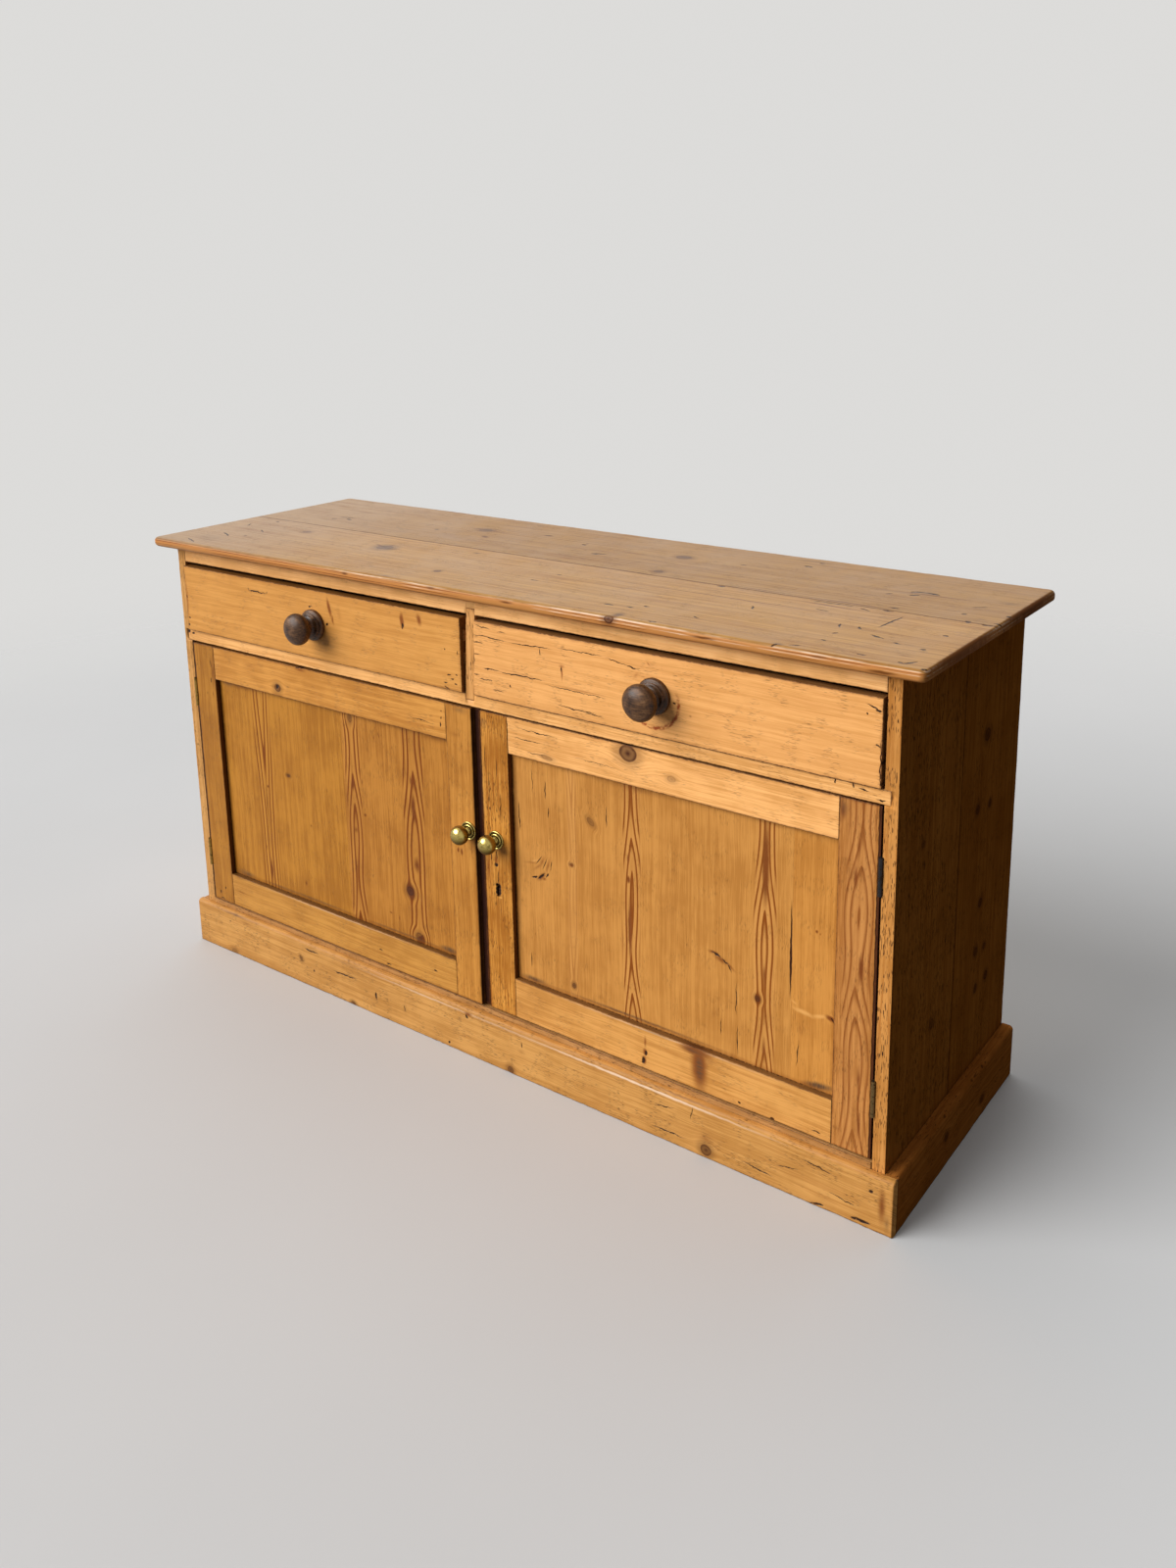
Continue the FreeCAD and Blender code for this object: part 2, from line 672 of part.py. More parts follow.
def make_hinges():
    """Make both hinges; return what they cut out of a side and out of a hinge stile."""
    side_leaf = ("hinge_x - leaf_gap / 2 - leaf_thickness", "hinge_x - leaf_gap / 2")
    door_leaf = ("hinge_x + leaf_gap / 2", "hinge_x + leaf_gap / 2 + leaf_thickness")
    made = {"side_leaves": [], "door_leaves": [], "side_screws": [], "door_screws": [], "pins": []}
    side_cutters = []
    door_cutters = []
    for foot in ("lower_hinge", "upper_hinge"):
        z = (foot, foot + " + hinge_length")
        side_screws = []
        door_screws = []
        for number in range(SCREWS):
            height = foot + " + hinge_length / 2 - screw_spacing + screw_spacing * %d" % number
            side_screws.append(make_screw(TO_THE_LEFT, side_leaf[1], height))
            door_screws.append(make_screw(TO_THE_RIGHT, door_leaf[0], height))
        made["side_leaves"].append(make_leaf(side_leaf, foot, range(0, KNUCKLES, 2), side_screws))
        made["door_leaves"].append(make_leaf(door_leaf, foot, range(1, KNUCKLES, 2), door_screws))
        made["side_screws"] += side_screws
        made["door_screws"] += door_screws
        made["pins"].append(turned("Cylinder", "hinge_pin", UPWARDS, "hinge_x", "hinge_y", foot,
                                   Radius="hinge_pin_radius", Height="hinge_length"))
        relief = turned("Cylinder", "knuckle_relief_cutter", UPWARDS, "hinge_x", "hinge_y", foot,
                        Radius="knuckle_radius + knuckle_relief", Height="hinge_length")
        y = ("0 - left_door_proud - overrun", "leaf_end")
        side_mortise = box("side_mortise", (side_leaf[0], "hinge_x"), y, z)
        door_mortise = box("door_mortise", ("hinge_x", door_leaf[1]), y, z)
        side_cutters += [relief, side_mortise] + side_screws
        door_cutters += [relief, door_mortise] + door_screws

    for hand in ("left", "right"):
        finish_handed(hand, "frame_hinge_leaves", compound(hand + "_frame_leaves", made["side_leaves"]))
        finish_handed(hand, "door_hinge_leaves", compound(hand + "_door_leaves", made["door_leaves"]))
        finish_handed(hand, "door_hinge_screws", compound(hand + "_door_screws", made["door_screws"]))
        finish_handed(hand, "hinge_pins", compound(hand + "_pins", made["pins"]))
    twins = [mirrored("frame_screw_twin", screw) for screw in made["side_screws"]]
    finish("frame_hinge_screws", compound("frame_screws", made["side_screws"] + twins))
    return side_cutters, door_cutters


# Doors: mortised frames round a panel of two boards, drawn on the left

def make_knob(hand, x, face, z):
    """A brass ball knob on a stepped plate; returns the spindle that the door is bored for."""
    step = face + " - knob_step_height"
    centre = "knob_projection - knob_thickness / 2"
    spindle = turned("Cylinder", "knob_spindle", OUT_OF_FRONT, x, face + " + knob_spindle_length", z,
                     Radius="knob_spindle_radius", Height="knob_spindle_length + knob_step_height")
    disc = turned("Cylinder", "knob_disc", OUT_OF_FRONT, x, face, z,
                  Radius="knob_plate_radius", Height="knob_plate_height")
    raised = turned("Cylinder", "knob_step", OUT_OF_FRONT, x, face, z,
                    Radius="knob_step_radius", Height="knob_step_height")
    collar = turned("Cylinder", "knob_collar", OUT_OF_FRONT, x, step, z,
                    Radius="knob_collar_radius", Height="knob_collar_height")
    neck = turned("Cylinder", "knob_neck", OUT_OF_FRONT, x, step, z,
                  Radius="knob_neck_radius", Height=centre + " - knob_step_height")
    ball = turned("Ellipsoid", "knob_ball", OUT_OF_FRONT, x, face + " - (%s)" % centre, z,
                  Radius1="knob_thickness / 2", Radius2="knob_radius", Radius3="knob_radius")
    plate = cut("knob_plate_bored", fuse("knob_plate_whole", [disc, raised]), [spindle])
    finish_handed(hand, "door_knob_plate", plate)
    finish_handed(hand, "door_knob", fuse("knob_whole", [spindle, collar, neck, ball]))
    return spindle


def make_door(hand, face, meeting_edge, hinge_cutters, extra_cutters, tongue):
    """A framed door; its meeting stile may carry a tongue and be cut for the lock."""
    back = face + " + door_thickness"
    groove_back = back + " - panel_back_lip"
    groove_y = (groove_back + " - panel_thickness", groove_back)
    outer = ("door_outer_edge", "door_outer_edge + %s_hinge_stile_width" % hand)
    meeting = (meeting_edge + " - %s_meeting_stile_width" % hand, meeting_edge)
    thick = (face, back)
    low = "door_foot + %s_bottom_rail_height" % hand
    high = "door_head - %s_top_rail_height" % hand
    height = ("door_foot", "door_head")

    groove_x = (outer[1] + " - groove_depth", meeting[0] + " + groove_depth")
    groove_z = (low + " - groove_depth", high + " + groove_depth")
    groove = box("panel_groove", groove_x, groove_y, groove_z)
    tenon_x = (outer[1] + " - tenon_length", meeting[0] + " + tenon_length")
    top_tenon = box("top_tenons", tenon_x, groove_y, (groove_z[1], "door_head - tenon_shoulder"))
    bottom_tenon = box("bottom_tenons", tenon_x, groove_y, ("door_foot + tenon_shoulder", groove_z[0]))
    mortises = [top_tenon, bottom_tenon, groove]

    knob_x = meeting_edge + " - %s_knob_inset" % hand
    spindle = make_knob(hand, knob_x, face, "%s_knob_height" % hand)
    hinge_stile = box("hinge_stile_blank", outer, thick, height)
    finish_handed(hand, "door_hinge_stile",
                  cut("hinge_stile_cut", hinge_stile, mortises + hinge_cutters))
    meeting_stile = box("meeting_stile_blank", meeting, thick, height)
    if tongue:
        meeting_stile = fuse("meeting_stile_tongued", [meeting_stile, tongue])
    finish_handed(hand, "door_meeting_stile",
                  cut("meeting_stile_cut", meeting_stile, mortises + [spindle] + extra_cutters))

    rail_x = (outer[1], meeting[0])
    for name, z, tenon in (("top", (high, "door_head"), top_tenon),
                           ("bottom", ("door_foot", low), bottom_tenon)):
        rail = fuse("door_rail_tenoned", [box("door_rail_blank", rail_x, thick, z), tenon])
        finish_handed(hand, "door_%s_rail" % name, cut("door_rail_cut", rail, [groove]))

    joint = groove_x[0] + " + panel_clearance + %s_panel_outer_width" % hand
    panel_z = (groove_z[0], groove_z[1] + " - panel_clearance")
    finish_handed(hand, "door_outer_panel",
                  box("outer_panel_board", (groove_x[0] + " + panel_clearance", joint),
                      groove_y, panel_z))
    finish_handed(hand, "door_inner_panel",
                  box("inner_panel_board", (joint, groove_x[1] + " - panel_clearance"),
                      groove_y, panel_z))


# Lock in the right door, drawn on the left, and its keep in the left door's tongue

def make_lock():
    """Make the lock; return what it cuts out of the right door's meeting stile."""
    edge = "0 - meeting_line"
    case_x = (edge + " - lock_case_length", edge)
    case_z = ("lock_height - lock_case_height / 2", "lock_height + lock_case_height / 2")
    pocket = box("lock_pocket", (case_x[0], edge + " + overrun"),
                 ("lock_front", "lock_back + overrun"), case_z)
    channel = box("bolt_channel", (edge + " - lock_bolt_length - 2 * lock_bolt_clearance",
                                   edge + " + overrun"),
                  ("bolt_front - lock_bolt_clearance", "bolt_back + lock_bolt_clearance"),
                  ("bolt_foot - lock_bolt_clearance", "bolt_head + lock_bolt_clearance"))
    keyhole_x = edge + " - keyhole_inset"
    deep = "bolt_front"
    reach = "bolt_front - right_door_setback + overrun"
    eye = turned("Cylinder", "keyhole_eye", OUT_OF_FRONT, keyhole_x, deep,
                 "lock_height + keyhole_rise", Radius="keyhole_radius", Height=reach)
    slot = box("keyhole_slot", (keyhole_x + " - keyhole_slot_width / 2",
                                keyhole_x + " + keyhole_slot_width / 2"),
               ("right_door_setback - overrun", deep),
               ("lock_height + keyhole_rise - keyhole_slot_drop", "lock_height + keyhole_rise"))
    case = box("lock_case_blank", case_x, ("lock_front", "lock_back"), case_z)
    finish_handed("right", "door_lock_case", cut("lock_case_cut", case, [channel, eye, slot]))
    bolt = box("bolt_blank", (edge + " - lock_bolt_length - lock_bolt_clearance",
                              edge + " - lock_bolt_clearance"),
               ("bolt_front", "bolt_back"), ("bolt_foot", "bolt_head"))
    finish_handed("right", "door_lock_bolt", bolt)
    return [pocket, eye, slot]


def make_doors(hinge_cutters):
    face = "0 - left_door_proud"
    tongue = box("meeting_tongue", ("left_lap_edge - tongue_width", "tongue_end"),
                 (face + " + tongue_setback", face + " + door_thickness"),
                 ("door_foot", "door_head"))
    keep = box("lock_keep", ("tongue_end - lock_keep_depth", "tongue_end + overrun"),
               ("bolt_front - lock_bolt_clearance", "bolt_back + lock_bolt_clearance"),
               ("bolt_foot - lock_bolt_clearance", "bolt_head + lock_bolt_clearance"))
    make_door("left", face, "left_lap_edge", hinge_cutters, [keep], tongue)
    make_door("right", "right_door_setback", "0 - meeting_line", hinge_cutters, make_lock(), None)


def make_sideboard():
    side_cutters, door_cutters = make_hinges()
    make_top()
    make_sides(side_cutters)
    make_rails()
    make_inside()
    make_plinth()
    make_runners()
    make_drawer("left", "left_drawer_end", "left_drawer_end", "left_drawer_end")
    make_drawer("right", "0 - right_front_foot", "0 - right_front_head", "0 - right_drawer_end")
    make_doors(door_cutters)


def export():
    """Check every object and write one file for each finished piece."""
    doc.recompute()
    for item in doc.Objects:
        if "Invalid" in item.State or "Error" in item.State:
            raise RuntimeError("%s could not be made: %s" % (item.Label, item.State))
    for piece in finished:
        if piece.Shape.isNull() or not piece.Shape.isValid() or not piece.Shape.Solids:
            raise RuntimeError("%s has no good solid" % piece.Label)
    os.makedirs("parts", exist_ok=True)
    for piece in finished:
        piece.Shape.exportStep(os.path.join("parts", piece.Label + ".step"))
    print(len(finished), "pieces,", sum(len(piece.Shape.Solids) for piece in finished), "solids")


make_sideboard()
export()
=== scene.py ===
import json
import math

import bmesh
import bpy
from mathutils import Matrix, Vector, noise

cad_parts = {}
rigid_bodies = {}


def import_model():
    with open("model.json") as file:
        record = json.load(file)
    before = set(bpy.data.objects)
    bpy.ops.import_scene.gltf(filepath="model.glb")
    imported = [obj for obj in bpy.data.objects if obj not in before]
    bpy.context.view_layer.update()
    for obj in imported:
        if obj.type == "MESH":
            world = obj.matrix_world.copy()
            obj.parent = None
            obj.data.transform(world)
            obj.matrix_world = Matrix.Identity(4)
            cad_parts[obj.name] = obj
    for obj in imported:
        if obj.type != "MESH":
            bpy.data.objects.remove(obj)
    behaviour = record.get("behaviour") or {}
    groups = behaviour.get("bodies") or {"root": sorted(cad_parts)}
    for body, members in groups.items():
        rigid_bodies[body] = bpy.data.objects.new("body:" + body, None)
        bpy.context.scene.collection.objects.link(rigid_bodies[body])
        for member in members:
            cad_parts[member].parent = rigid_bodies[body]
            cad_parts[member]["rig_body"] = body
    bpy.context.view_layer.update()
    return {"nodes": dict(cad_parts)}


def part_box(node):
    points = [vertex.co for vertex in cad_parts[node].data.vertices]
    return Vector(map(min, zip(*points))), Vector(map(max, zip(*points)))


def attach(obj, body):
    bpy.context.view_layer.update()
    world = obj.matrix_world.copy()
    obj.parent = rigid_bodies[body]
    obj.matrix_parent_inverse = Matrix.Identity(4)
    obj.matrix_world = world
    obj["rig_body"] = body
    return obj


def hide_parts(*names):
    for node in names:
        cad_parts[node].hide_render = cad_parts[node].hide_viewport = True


# Old pine sideboard: two drawers over two panelled doors. Meshes are in metres. The
# tables below are in millimetres: x from the middle, y back from the carcass front,
# and z up from the floor. Colours in srgb() are as they show on a screen, 0 to 255.

MM = 0.001
FRONT_Y = -213.5
# The two axes of each face, called a and b, and the axis out of it
FACES = {"front": "xzy", "top": "xyz", "side": "yzx"}

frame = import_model()
nodes = frame["nodes"]
slots = {name: node.data.materials[0].name for name, node in nodes.items()}


# Camera

IMAGE_WIDTH = 1200
IMAGE_HEIGHT = 1600
FOCAL_PIXELS = 1355.9
CENTRE_PIXELS = (644.8, 584.8)
CAMERA_PLACE = Vector((1.4112, -1.7536, 1.3526))
CAMERA_AZIMUTH = math.radians(35.272)
CAMERA_DIP = math.radians(13.166)
CAMERA_ROLL = math.radians(-0.631)
SENSOR = 36


def make_camera():
    """Stand the camera where the photograph was taken, with its framing."""
    forward = Vector((-math.sin(CAMERA_AZIMUTH) * math.cos(CAMERA_DIP),
                      math.cos(CAMERA_AZIMUTH) * math.cos(CAMERA_DIP),
                      -math.sin(CAMERA_DIP)))
    level = forward.cross(Vector((0, 0, 1))).normalized()
    upright = level.cross(forward)
    right = math.cos(CAMERA_ROLL) * level + math.sin(CAMERA_ROLL) * upright
    up = right.cross(forward)
    camera = bpy.data.objects.new("camera", bpy.data.cameras.new("camera"))
    camera.matrix_world = Matrix.Translation(CAMERA_PLACE) @ \
        Matrix((right, up, -forward)).transposed().to_4x4()
    camera.data.sensor_width = SENSOR
    camera.data.lens = FOCAL_PIXELS * SENSOR / IMAGE_HEIGHT
    camera.data.shift_x = (IMAGE_WIDTH / 2 - CENTRE_PIXELS[0]) / IMAGE_HEIGHT
    camera.data.shift_y = (CENTRE_PIXELS[1] - IMAGE_HEIGHT / 2) / IMAGE_HEIGHT
    bpy.context.scene.collection.objects.link(camera)
    bpy.context.scene.camera = camera


# Nodes

def srgb(red, green, blue):
    """A colour as it shows on a screen, made linear."""
    def linear(value):
        value /= 255
        return value / 12.92 if value <= 0.04045 else ((value + 0.055) / 1.055) ** 2.4
    return (linear(red), linear(green), linear(blue), 1.0)


def tinted(colour, red, green, blue):
    return (colour[0] * red, colour[1] * green, colour[2] * blue, 1.0)


class Value:
    """What a node puts out, ready to be used in a sum."""

    def __init__(self, graph, output):
        self.graph = graph
        self.output = output

    def __add__(self, other):
        return self.graph.math("ADD", self, other)

    def __sub__(self, other):
        return self.graph.math("SUBTRACT", self, other)

    def __rsub__(self, other):
        return self.graph.math("SUBTRACT", other, self)

    def __mul__(self, other):
        return self.graph.math("MULTIPLY", self, other)

    def __truediv__(self, other):
        return self.graph.math("DIVIDE", self, other)

    def size(self):
        return self.graph.math("ABSOLUTE", self)

    def root(self):
        return self.graph.math("SQRT", self)

    def sine(self):
        return self.graph.math("SINE", self)

    def fraction(self):
        return self.graph.math("FRACT", self)

    def or_more(self, other):
        return self.graph.math("MAXIMUM", self, other)

    def fade(self, start, end):
        """Rise smoothly from 0 at start to 1 at end."""
        span = {"Value": self, "From Min": start, "From Max": end}
        if start > end:
            span = {"Value": self, "From Min": end, "From Max": start, "To Min": 1.0, "To Max": 0.0}
        return self.graph.node("MapRange", span, interpolation_type="SMOOTHSTEP")


class Graph:
    """The nodes of one material, or of the world round the scene."""

    def __init__(self, owner, shader="Principled BSDF"):
        owner.use_nodes = True
        self.owner = owner
        self.tree = owner.node_tree
        self.shader = self.tree.nodes[shader]

    def join(self, value, socket):
        if isinstance(value, Value):
            self.tree.links.new(value.output, socket)
        else:
            socket.default_value = value

    def node(self, kind, inputs, output=0, **settings):
        made = self.tree.nodes.new("ShaderNode" + kind)
        for name, setting in settings.items():
            setattr(made, name, setting)
        for name, value in inputs.items():
            self.join(value, made.inputs[name])
        return Value(self, made.outputs[output])

    def math(self, operation, *values):
        return self.node("Math", dict(enumerate(values)), operation=operation)

    def vector(self, x, y, z):
        return self.node("CombineXYZ", {"X": x, "Y": y, "Z": z})

    def place(self):
        """The point on the piece, in millimetres, with y back from the carcass front."""
        point = self.node("TexCoord", {}, output="Object")
        parts = [self.node("SeparateXYZ", {"Vector": point}, output=axis) for axis in "XYZ"]
        x, y, z = [part / MM for part in parts]
        return x, y - FRONT_Y, z

    def normal(self, axis):
        """How far the surface faces along one axis of its piece."""
        facing = self.node("TexCoord", {}, output="Normal")
        return self.node("SeparateXYZ", {"Vector": facing}, output=axis)

    def noise(self, point, detail, roughness=0.5):
        inputs = {"Vector": point, "Scale": 1.0, "Detail": detail, "Roughness": roughness}
        return self.node("TexNoise", inputs)

    def cells(self, first, second, size, layer, detail=1.0, roughness=0.5):
        """Noise in cells of one length by one width, which differs from layer to layer."""
        point = self.vector(first / size[0], second / size[1], layer)
        return self.noise(point, detail, roughness)

    def mix(self, share, start, end, blend="MIX"):
        inputs = {0: share, 6: start, 7: end}
        return self.node("Mix", inputs, output=2, data_type="RGBA", blend_type=blend)

    def patch(self, point, place, reach, angle=0.0):
        """The point seen from inside a turned ellipse, whose rim is 1 from its middle."""
        inputs = {"Vector": point, "Location": (*place, 0),
                  "Rotation": (0, 0, math.radians(angle)), "Scale": (*reach, 1)}
        return self.node("Mapping", inputs, vector_type="TEXTURE")

    def distance(self, point, place, reach, angle=0.0):
        """0 at the middle of a turned ellipse, 1 at its rim, and more outside it."""
        inside = self.patch(point, place, reach, angle)
        return self.node("VectorMath", {0: inside}, output="Value", operation="LENGTH")

    def spot(self, point, place, reach, angle=0.0):
        """1 at the middle of a turned ellipse, down to 0 at its rim."""
        inside = self.patch(point, place, reach, angle)
        return self.node("TexGradient", {"Vector": inside}, output="Fac",
                         gradient_type="SPHERICAL")

    def finish(self, colour, roughness, height):
        """Join a colour, a roughness and a height in millimetres to the shader."""
        self.join(colour, self.shader.inputs["Base Color"])
        self.join(roughness, self.shader.inputs["Roughness"])
        bump = self.node("Bump", {"Height": height, "Distance": MM}, output="Normal")
        self.join(bump, self.shader.inputs["Normal"])
        return self.owner


# Pine

CRACK = srgb(48, 26, 12)
# The dark of joints, and painted shade in the gaps beside the doors
GAP = srgb(50, 18, 4)
# Dust, and painted shade in corners and along recesses
DUST_AND_SHADE = srgb(96, 70, 48)
KNOT = srgb(78, 40, 20)
# A painted highlight
PAINTED_HIGHLIGHT = srgb(250, 216, 184)

# How long and how wide each feature of the wood is
SWAY = (190, 80)
RIPPLE = (14, 9)
JAG = (4.5, 4.5)
STREAK = (420, 6.5)
FIBRE = (45, 1.5)
CLOUD = (85, 85)
DASH = (9, 0.9)
WORN_AREA = (34, 34)
VEIN_LENGTH = 520
# How much the depth and the sway shift the grain, and how far apart seeds lie in the noise
DEPTH_SHARE = 0.8
SWAY_SHARE = 9
LAYER_STEP = 7.31

# Heights on the rounded edge of the top and of its painted highlights, and places along the top
# where the painted highlights and the painted pale reflection fade in
TOP_HEIGHT = 848
RUB_START = 845.8
RUB_FULL = 843.6
GROOVE_SPACING = 5.6
UPPER_HIGHLIGHT = 845.4
LOWER_HIGHLIGHT = 840.2
HIGHLIGHT_START = -520
HIGHLIGHT_FULL = 0
REFLECTION_START = -300
REFLECTION_FULL = -720


def mark(a, b, reach_a, reach_b, strength=1, angle=0):
    """The place, the size, the strength and the angle of one mark of the tables."""
    return (a, b), (reach_a, reach_b), strength, angle


def either(first, second):
    """The stronger of two masks, the first of which may be missing."""
    return second if first is None else first.or_more(second)


class Pine(Graph):
    """Waxed pine. Each step is laid over the colour and the height of those before it."""

    def __init__(self, name, face, grain, colour, seed, unroll):
        super().__init__(bpy.data.materials.new(name))
        place = dict(zip("xyz", self.place()))
        self.a, self.b, self.depth = [place[axis] for axis in FACES[face]]
        self.level = grain == "a"
        self.along, self.across = (self.a, self.b) if self.level else (self.b, self.a)
        self.colour = colour
        self.seed = seed
        self.layer = seed * LAYER_STEP
        self.facing = self.normal(FACES[face][2].upper()).size().fade(0.45, 0.8)
        self.sway = self.cells(self.along, self.across, SWAY, self.layer) - 0.5
        self.ripple = self.cells(self.along, self.across, RIPPLE, self.layer) - 0.5
        self.jag = self.cells(self.a, self.b, JAG, self.layer) - 0.5
        # Marks on the top run on down its front edge, as if it were unrolled
        b = self.b - (TOP_HEIGHT - self.depth) if unroll else self.b
        ripple, jag = self.ripple, self.jag
        self.even_point = self.vector(self.a + ripple * 2.2, b + ripple * 2.2, 0.0)
        self.torn_point = self.vector(self.a + ripple * 5, b + ripple * 5 + jag * 2.6, 0.0)

    def paint(self, share, tint):
        self.shade = self.mix(share, self.shade, tint)

    def bend_grain(self, knots):
        """Bend the grain round each knot and over the board's edges, and return the knots."""
        self.bent = self.across + self.sway * SWAY_SHARE + self.depth * DEPTH_SHARE
        mask = None
        for knot in knots:
            place, size, strength, angle = mark(*knot)
            reach = self.distance(self.even_point, place, size, angle)
            off = self.across - (place[1] if self.level else place[0])
            self.bent = self.bent - off * reach.fade(3.4, 0.5) * 0.85
            rings = (reach * 6.3 + self.ripple * 3 + 1.57).sine() * 0.11 + 0.93
            core = reach.fade(1.15, 0.85) * rings * strength
            halo = reach.fade(2.3, 0.9) * (0.45 * strength)
            mask = either(mask, core.or_more(halo))
        return mask

    def lay_colour(self, contrast, mottle, pale_reflection):
        """Light and dark streaks, fibres and clouds, with a painted pale reflection towards the
        left end.
        """
        self.streak = self.cells(self.along, self.bent, STREAK, self.layer * 6, 3.0, 0.62) - 0.5
        self.fibre = self.cells(self.along, self.bent, FIBRE, self.layer * 30, 2.0) - 0.5
        self.cloud = self.cells(self.a, self.b, CLOUD, self.layer, 3.0, 0.6) - 0.5
        tone = self.streak * 2.8 + self.fibre * 2.2 + self.cloud * 2.6 * mottle + 0.5
        dark = tinted(self.colour, 1 - 0.36 * contrast, 1 - 0.46 * contrast, 1 - 0.64 * contrast)
        light = tinted(self.colour, 1 + 0.22 * contrast, 1 + 0.28 * contrast, 1 + 0.42 * contrast)
        self.shade = self.mix(tone, dark, light)
        if pale_reflection:
            # Painted reflection: paler towards the left end
            pale = self.along.fade(REFLECTION_START, REFLECTION_FULL) * (self.cloud * 2 + 0.85)
            self.paint(pale, pale_reflection)

    def lay_lines(self, lines, spacing):
        """Thin dark lines of late wood, which stand a little proud."""
        size = (VEIN_LENGTH, spacing)
        veins = self.cells(self.along, self.bent, size, self.layer * 5, 2.0, 0.55) - 0.5
        late = veins.size().fade(0.055, 0.0) * (self.cloud * 2.2 + self.sway * 1.4 + 0.85)
        self.paint(late * lines, tinted(self.colour, 0.56, 0.38, 0.20))
        self.height = self.fibre * 0.12 + late * (0.06 * lines) + self.cloud * 0.25

    def cathedral(self, seed, centre, half_width, period, nesting, swing, strength):
        """Nested arches of grain down the middle of a board, and the pale band they lie in."""
        sway = self.sway * SWAY_SHARE
        off = (self.bent - self.depth * DEPTH_SHARE - centre + sway * 0.5) / half_width
        arch = (off * off + 0.02).root()
        rise = self.along / period + (self.along / (period * 0.29) + seed).sine() * swing
        line = (rise + arch * nesting + sway * 0.04).fraction()
        edge = line.fade(0.45, 0.85) * line.fade(1.0, 0.93)
        return edge * off.size().fade(1.0, 0.75) * strength, off.size().fade(1.2, 0.5)

    def lay_arches(self, strips):
        arches = None
        for number, strip in enumerate(strips):
            one, band = self.cathedral(self.seed + number, *strip)
            arches = either(arches, one)
            self.paint(band * (self.streak + 0.35), tinted(self.colour, 1.25, 1.35, 1.7))
        if arches:
            arches = arches * (self.fibre * 1.2 + self.cloud * 0.8 + 0.95)
            self.paint(arches, tinted(self.colour, 0.42, 0.25, 0.10))
            self.height = self.height + arches * 0.10

    def lay_dashes(self, specks):
        """Short dark dashes where the surface is worn."""
        dash = self.cells(self.along, self.across + self.depth, DASH, self.layer, 0.0)
        where = self.cells(self.a, self.b, WORN_AREA, self.layer * 3)
        dash = dash.fade(0.63, 0.73) * where.fade(0.50 - specks * 0.2, 0.62 - specks * 0.2)
        self.paint(dash * min(1.0, specks * 1.6 + 0.2), tinted(CRACK, 1.3, 1.2, 1.1))
        self.height = self.height - dash * 0.15

    def rub_nosing(self, nosing):
        """The rounded edge of the top, rubbed to a warmer colour, with lines along it and painted
        highlight lines along its upper and lower curves.
        """
        rub = self.depth.fade(RUB_START, RUB_FULL)
        self.paint(rub * (self.streak * 1.4 + 0.9), nosing)
        grooves = (self.depth / GROOVE_SPACING + self.sway * 0.4).fraction() - 0.5
        grooves = grooves.size().fade(0.17, 0.04) * (self.cloud * 4 + self.streak * 4 + 0.55)
        self.paint(rub * grooves, tinted(nosing, 0.42, 0.28, 0.16))
        # Painted highlights along the upper and lower curves of the edge, growing from the left
        # towards the middle
        upper = (self.depth - UPPER_HIGHLIGHT + self.sway * 0.8).size().fade(1.3, 0.3)
        upper = upper * (self.cloud * 4 + self.streak * 5 + 0.8)
        lower = (self.depth - LOWER_HIGHLIGHT + self.sway * 0.8).size().fade(1.0, 0.2)
        lower = lower * (self.cloud * 4 - self.streak * 5 + 0.35)
        self.paint(upper.or_more(lower) * self.along.fade(HIGHLIGHT_START, HIGHLIGHT_FULL), PAINTED_HIGHLIGHT)

    def lay_marks(self, marks, tint, softness, drop=0.0, torn=False, patchy=False):
        """Lay a list of marks, each whole from its middle out to a share of its size."""
        mask = None
        point = self.torn_point if torn else self.even_point
        for row in marks:
            place, size, strength, angle = mark(*row)
            mask = either(mask, self.spot(point, place, size, angle) * strength)
        if mask:
            mask = mask.fade(0.02, softness)
            if torn:
                mask = mask * (self.jag * 2.5 + 1.25)
            if patchy:
                mask = mask * (self.cloud * 2 + self.fibre * 2 + 0.8)
            self.paint(mask, tint)
            self.height = self.height - mask * drop

    def lay_stains(self, stains):
        """Old rings, left by something round."""
        for a, b, radius, width, strength in stains:
            reach = self.distance(self.even_point, (a, b), (radius, radius))
            band = (reach - 1.0).size().fade(width / radius, 0.0)
            band = band * (self.jag * 4 + self.cloud * 2 + 0.8)
            low = (a + radius * 0.5, b - radius * 0.8)
            lower = self.spot(self.even_point, low, (radius * 1.5, radius * 1.4)).fade(0.0, 0.45)
            self.paint(band * lower * strength, tinted(self.colour, 0.40, 0.18, 0.14))

    def lay_grime_and_shade(self, box, grime_and_shade, reach, joint, rim, edge_tint):
        """Grime and painted shade along the edges of the board, a dark joint line round it, and
        painted shade with grime on the faces across it, which sit in the gaps round it.
        """
        (low_a, high_a), (low_b, high_b) = box
        side_a = (self.a - (low_a + high_a) / 2).size() - (high_a - low_a) / 2
        side_b = (self.b - (low_b + high_b) / 2).size() - (high_b - low_b) / 2
        edge = side_a.or_more(side_b)
        # Painted shade and grime, darkening the face towards its edges and the frame round it
        near = (edge + self.ripple * 6 + self.cloud * reach * 0.8).fade(-reach, 0.0) * grime_and_shade
        self.paint(near * self.facing, tinted(self.colour, 0.42, 0.3, 0.24))
        seam = (edge + self.ripple * 1.2).fade(-1.9, -0.6) * (self.jag * 2 + 0.9) * joint
        self.paint(seam * self.facing, tinted(CRACK, 1.6, 1.4, 1.2))
        # Painted shade, with grime, on the faces across the board: its edges, which sit in the gaps
        if rim:
            self.paint((1 - self.facing) * rim, tinted(CRACK, 1.1, 0.9, 0.8))
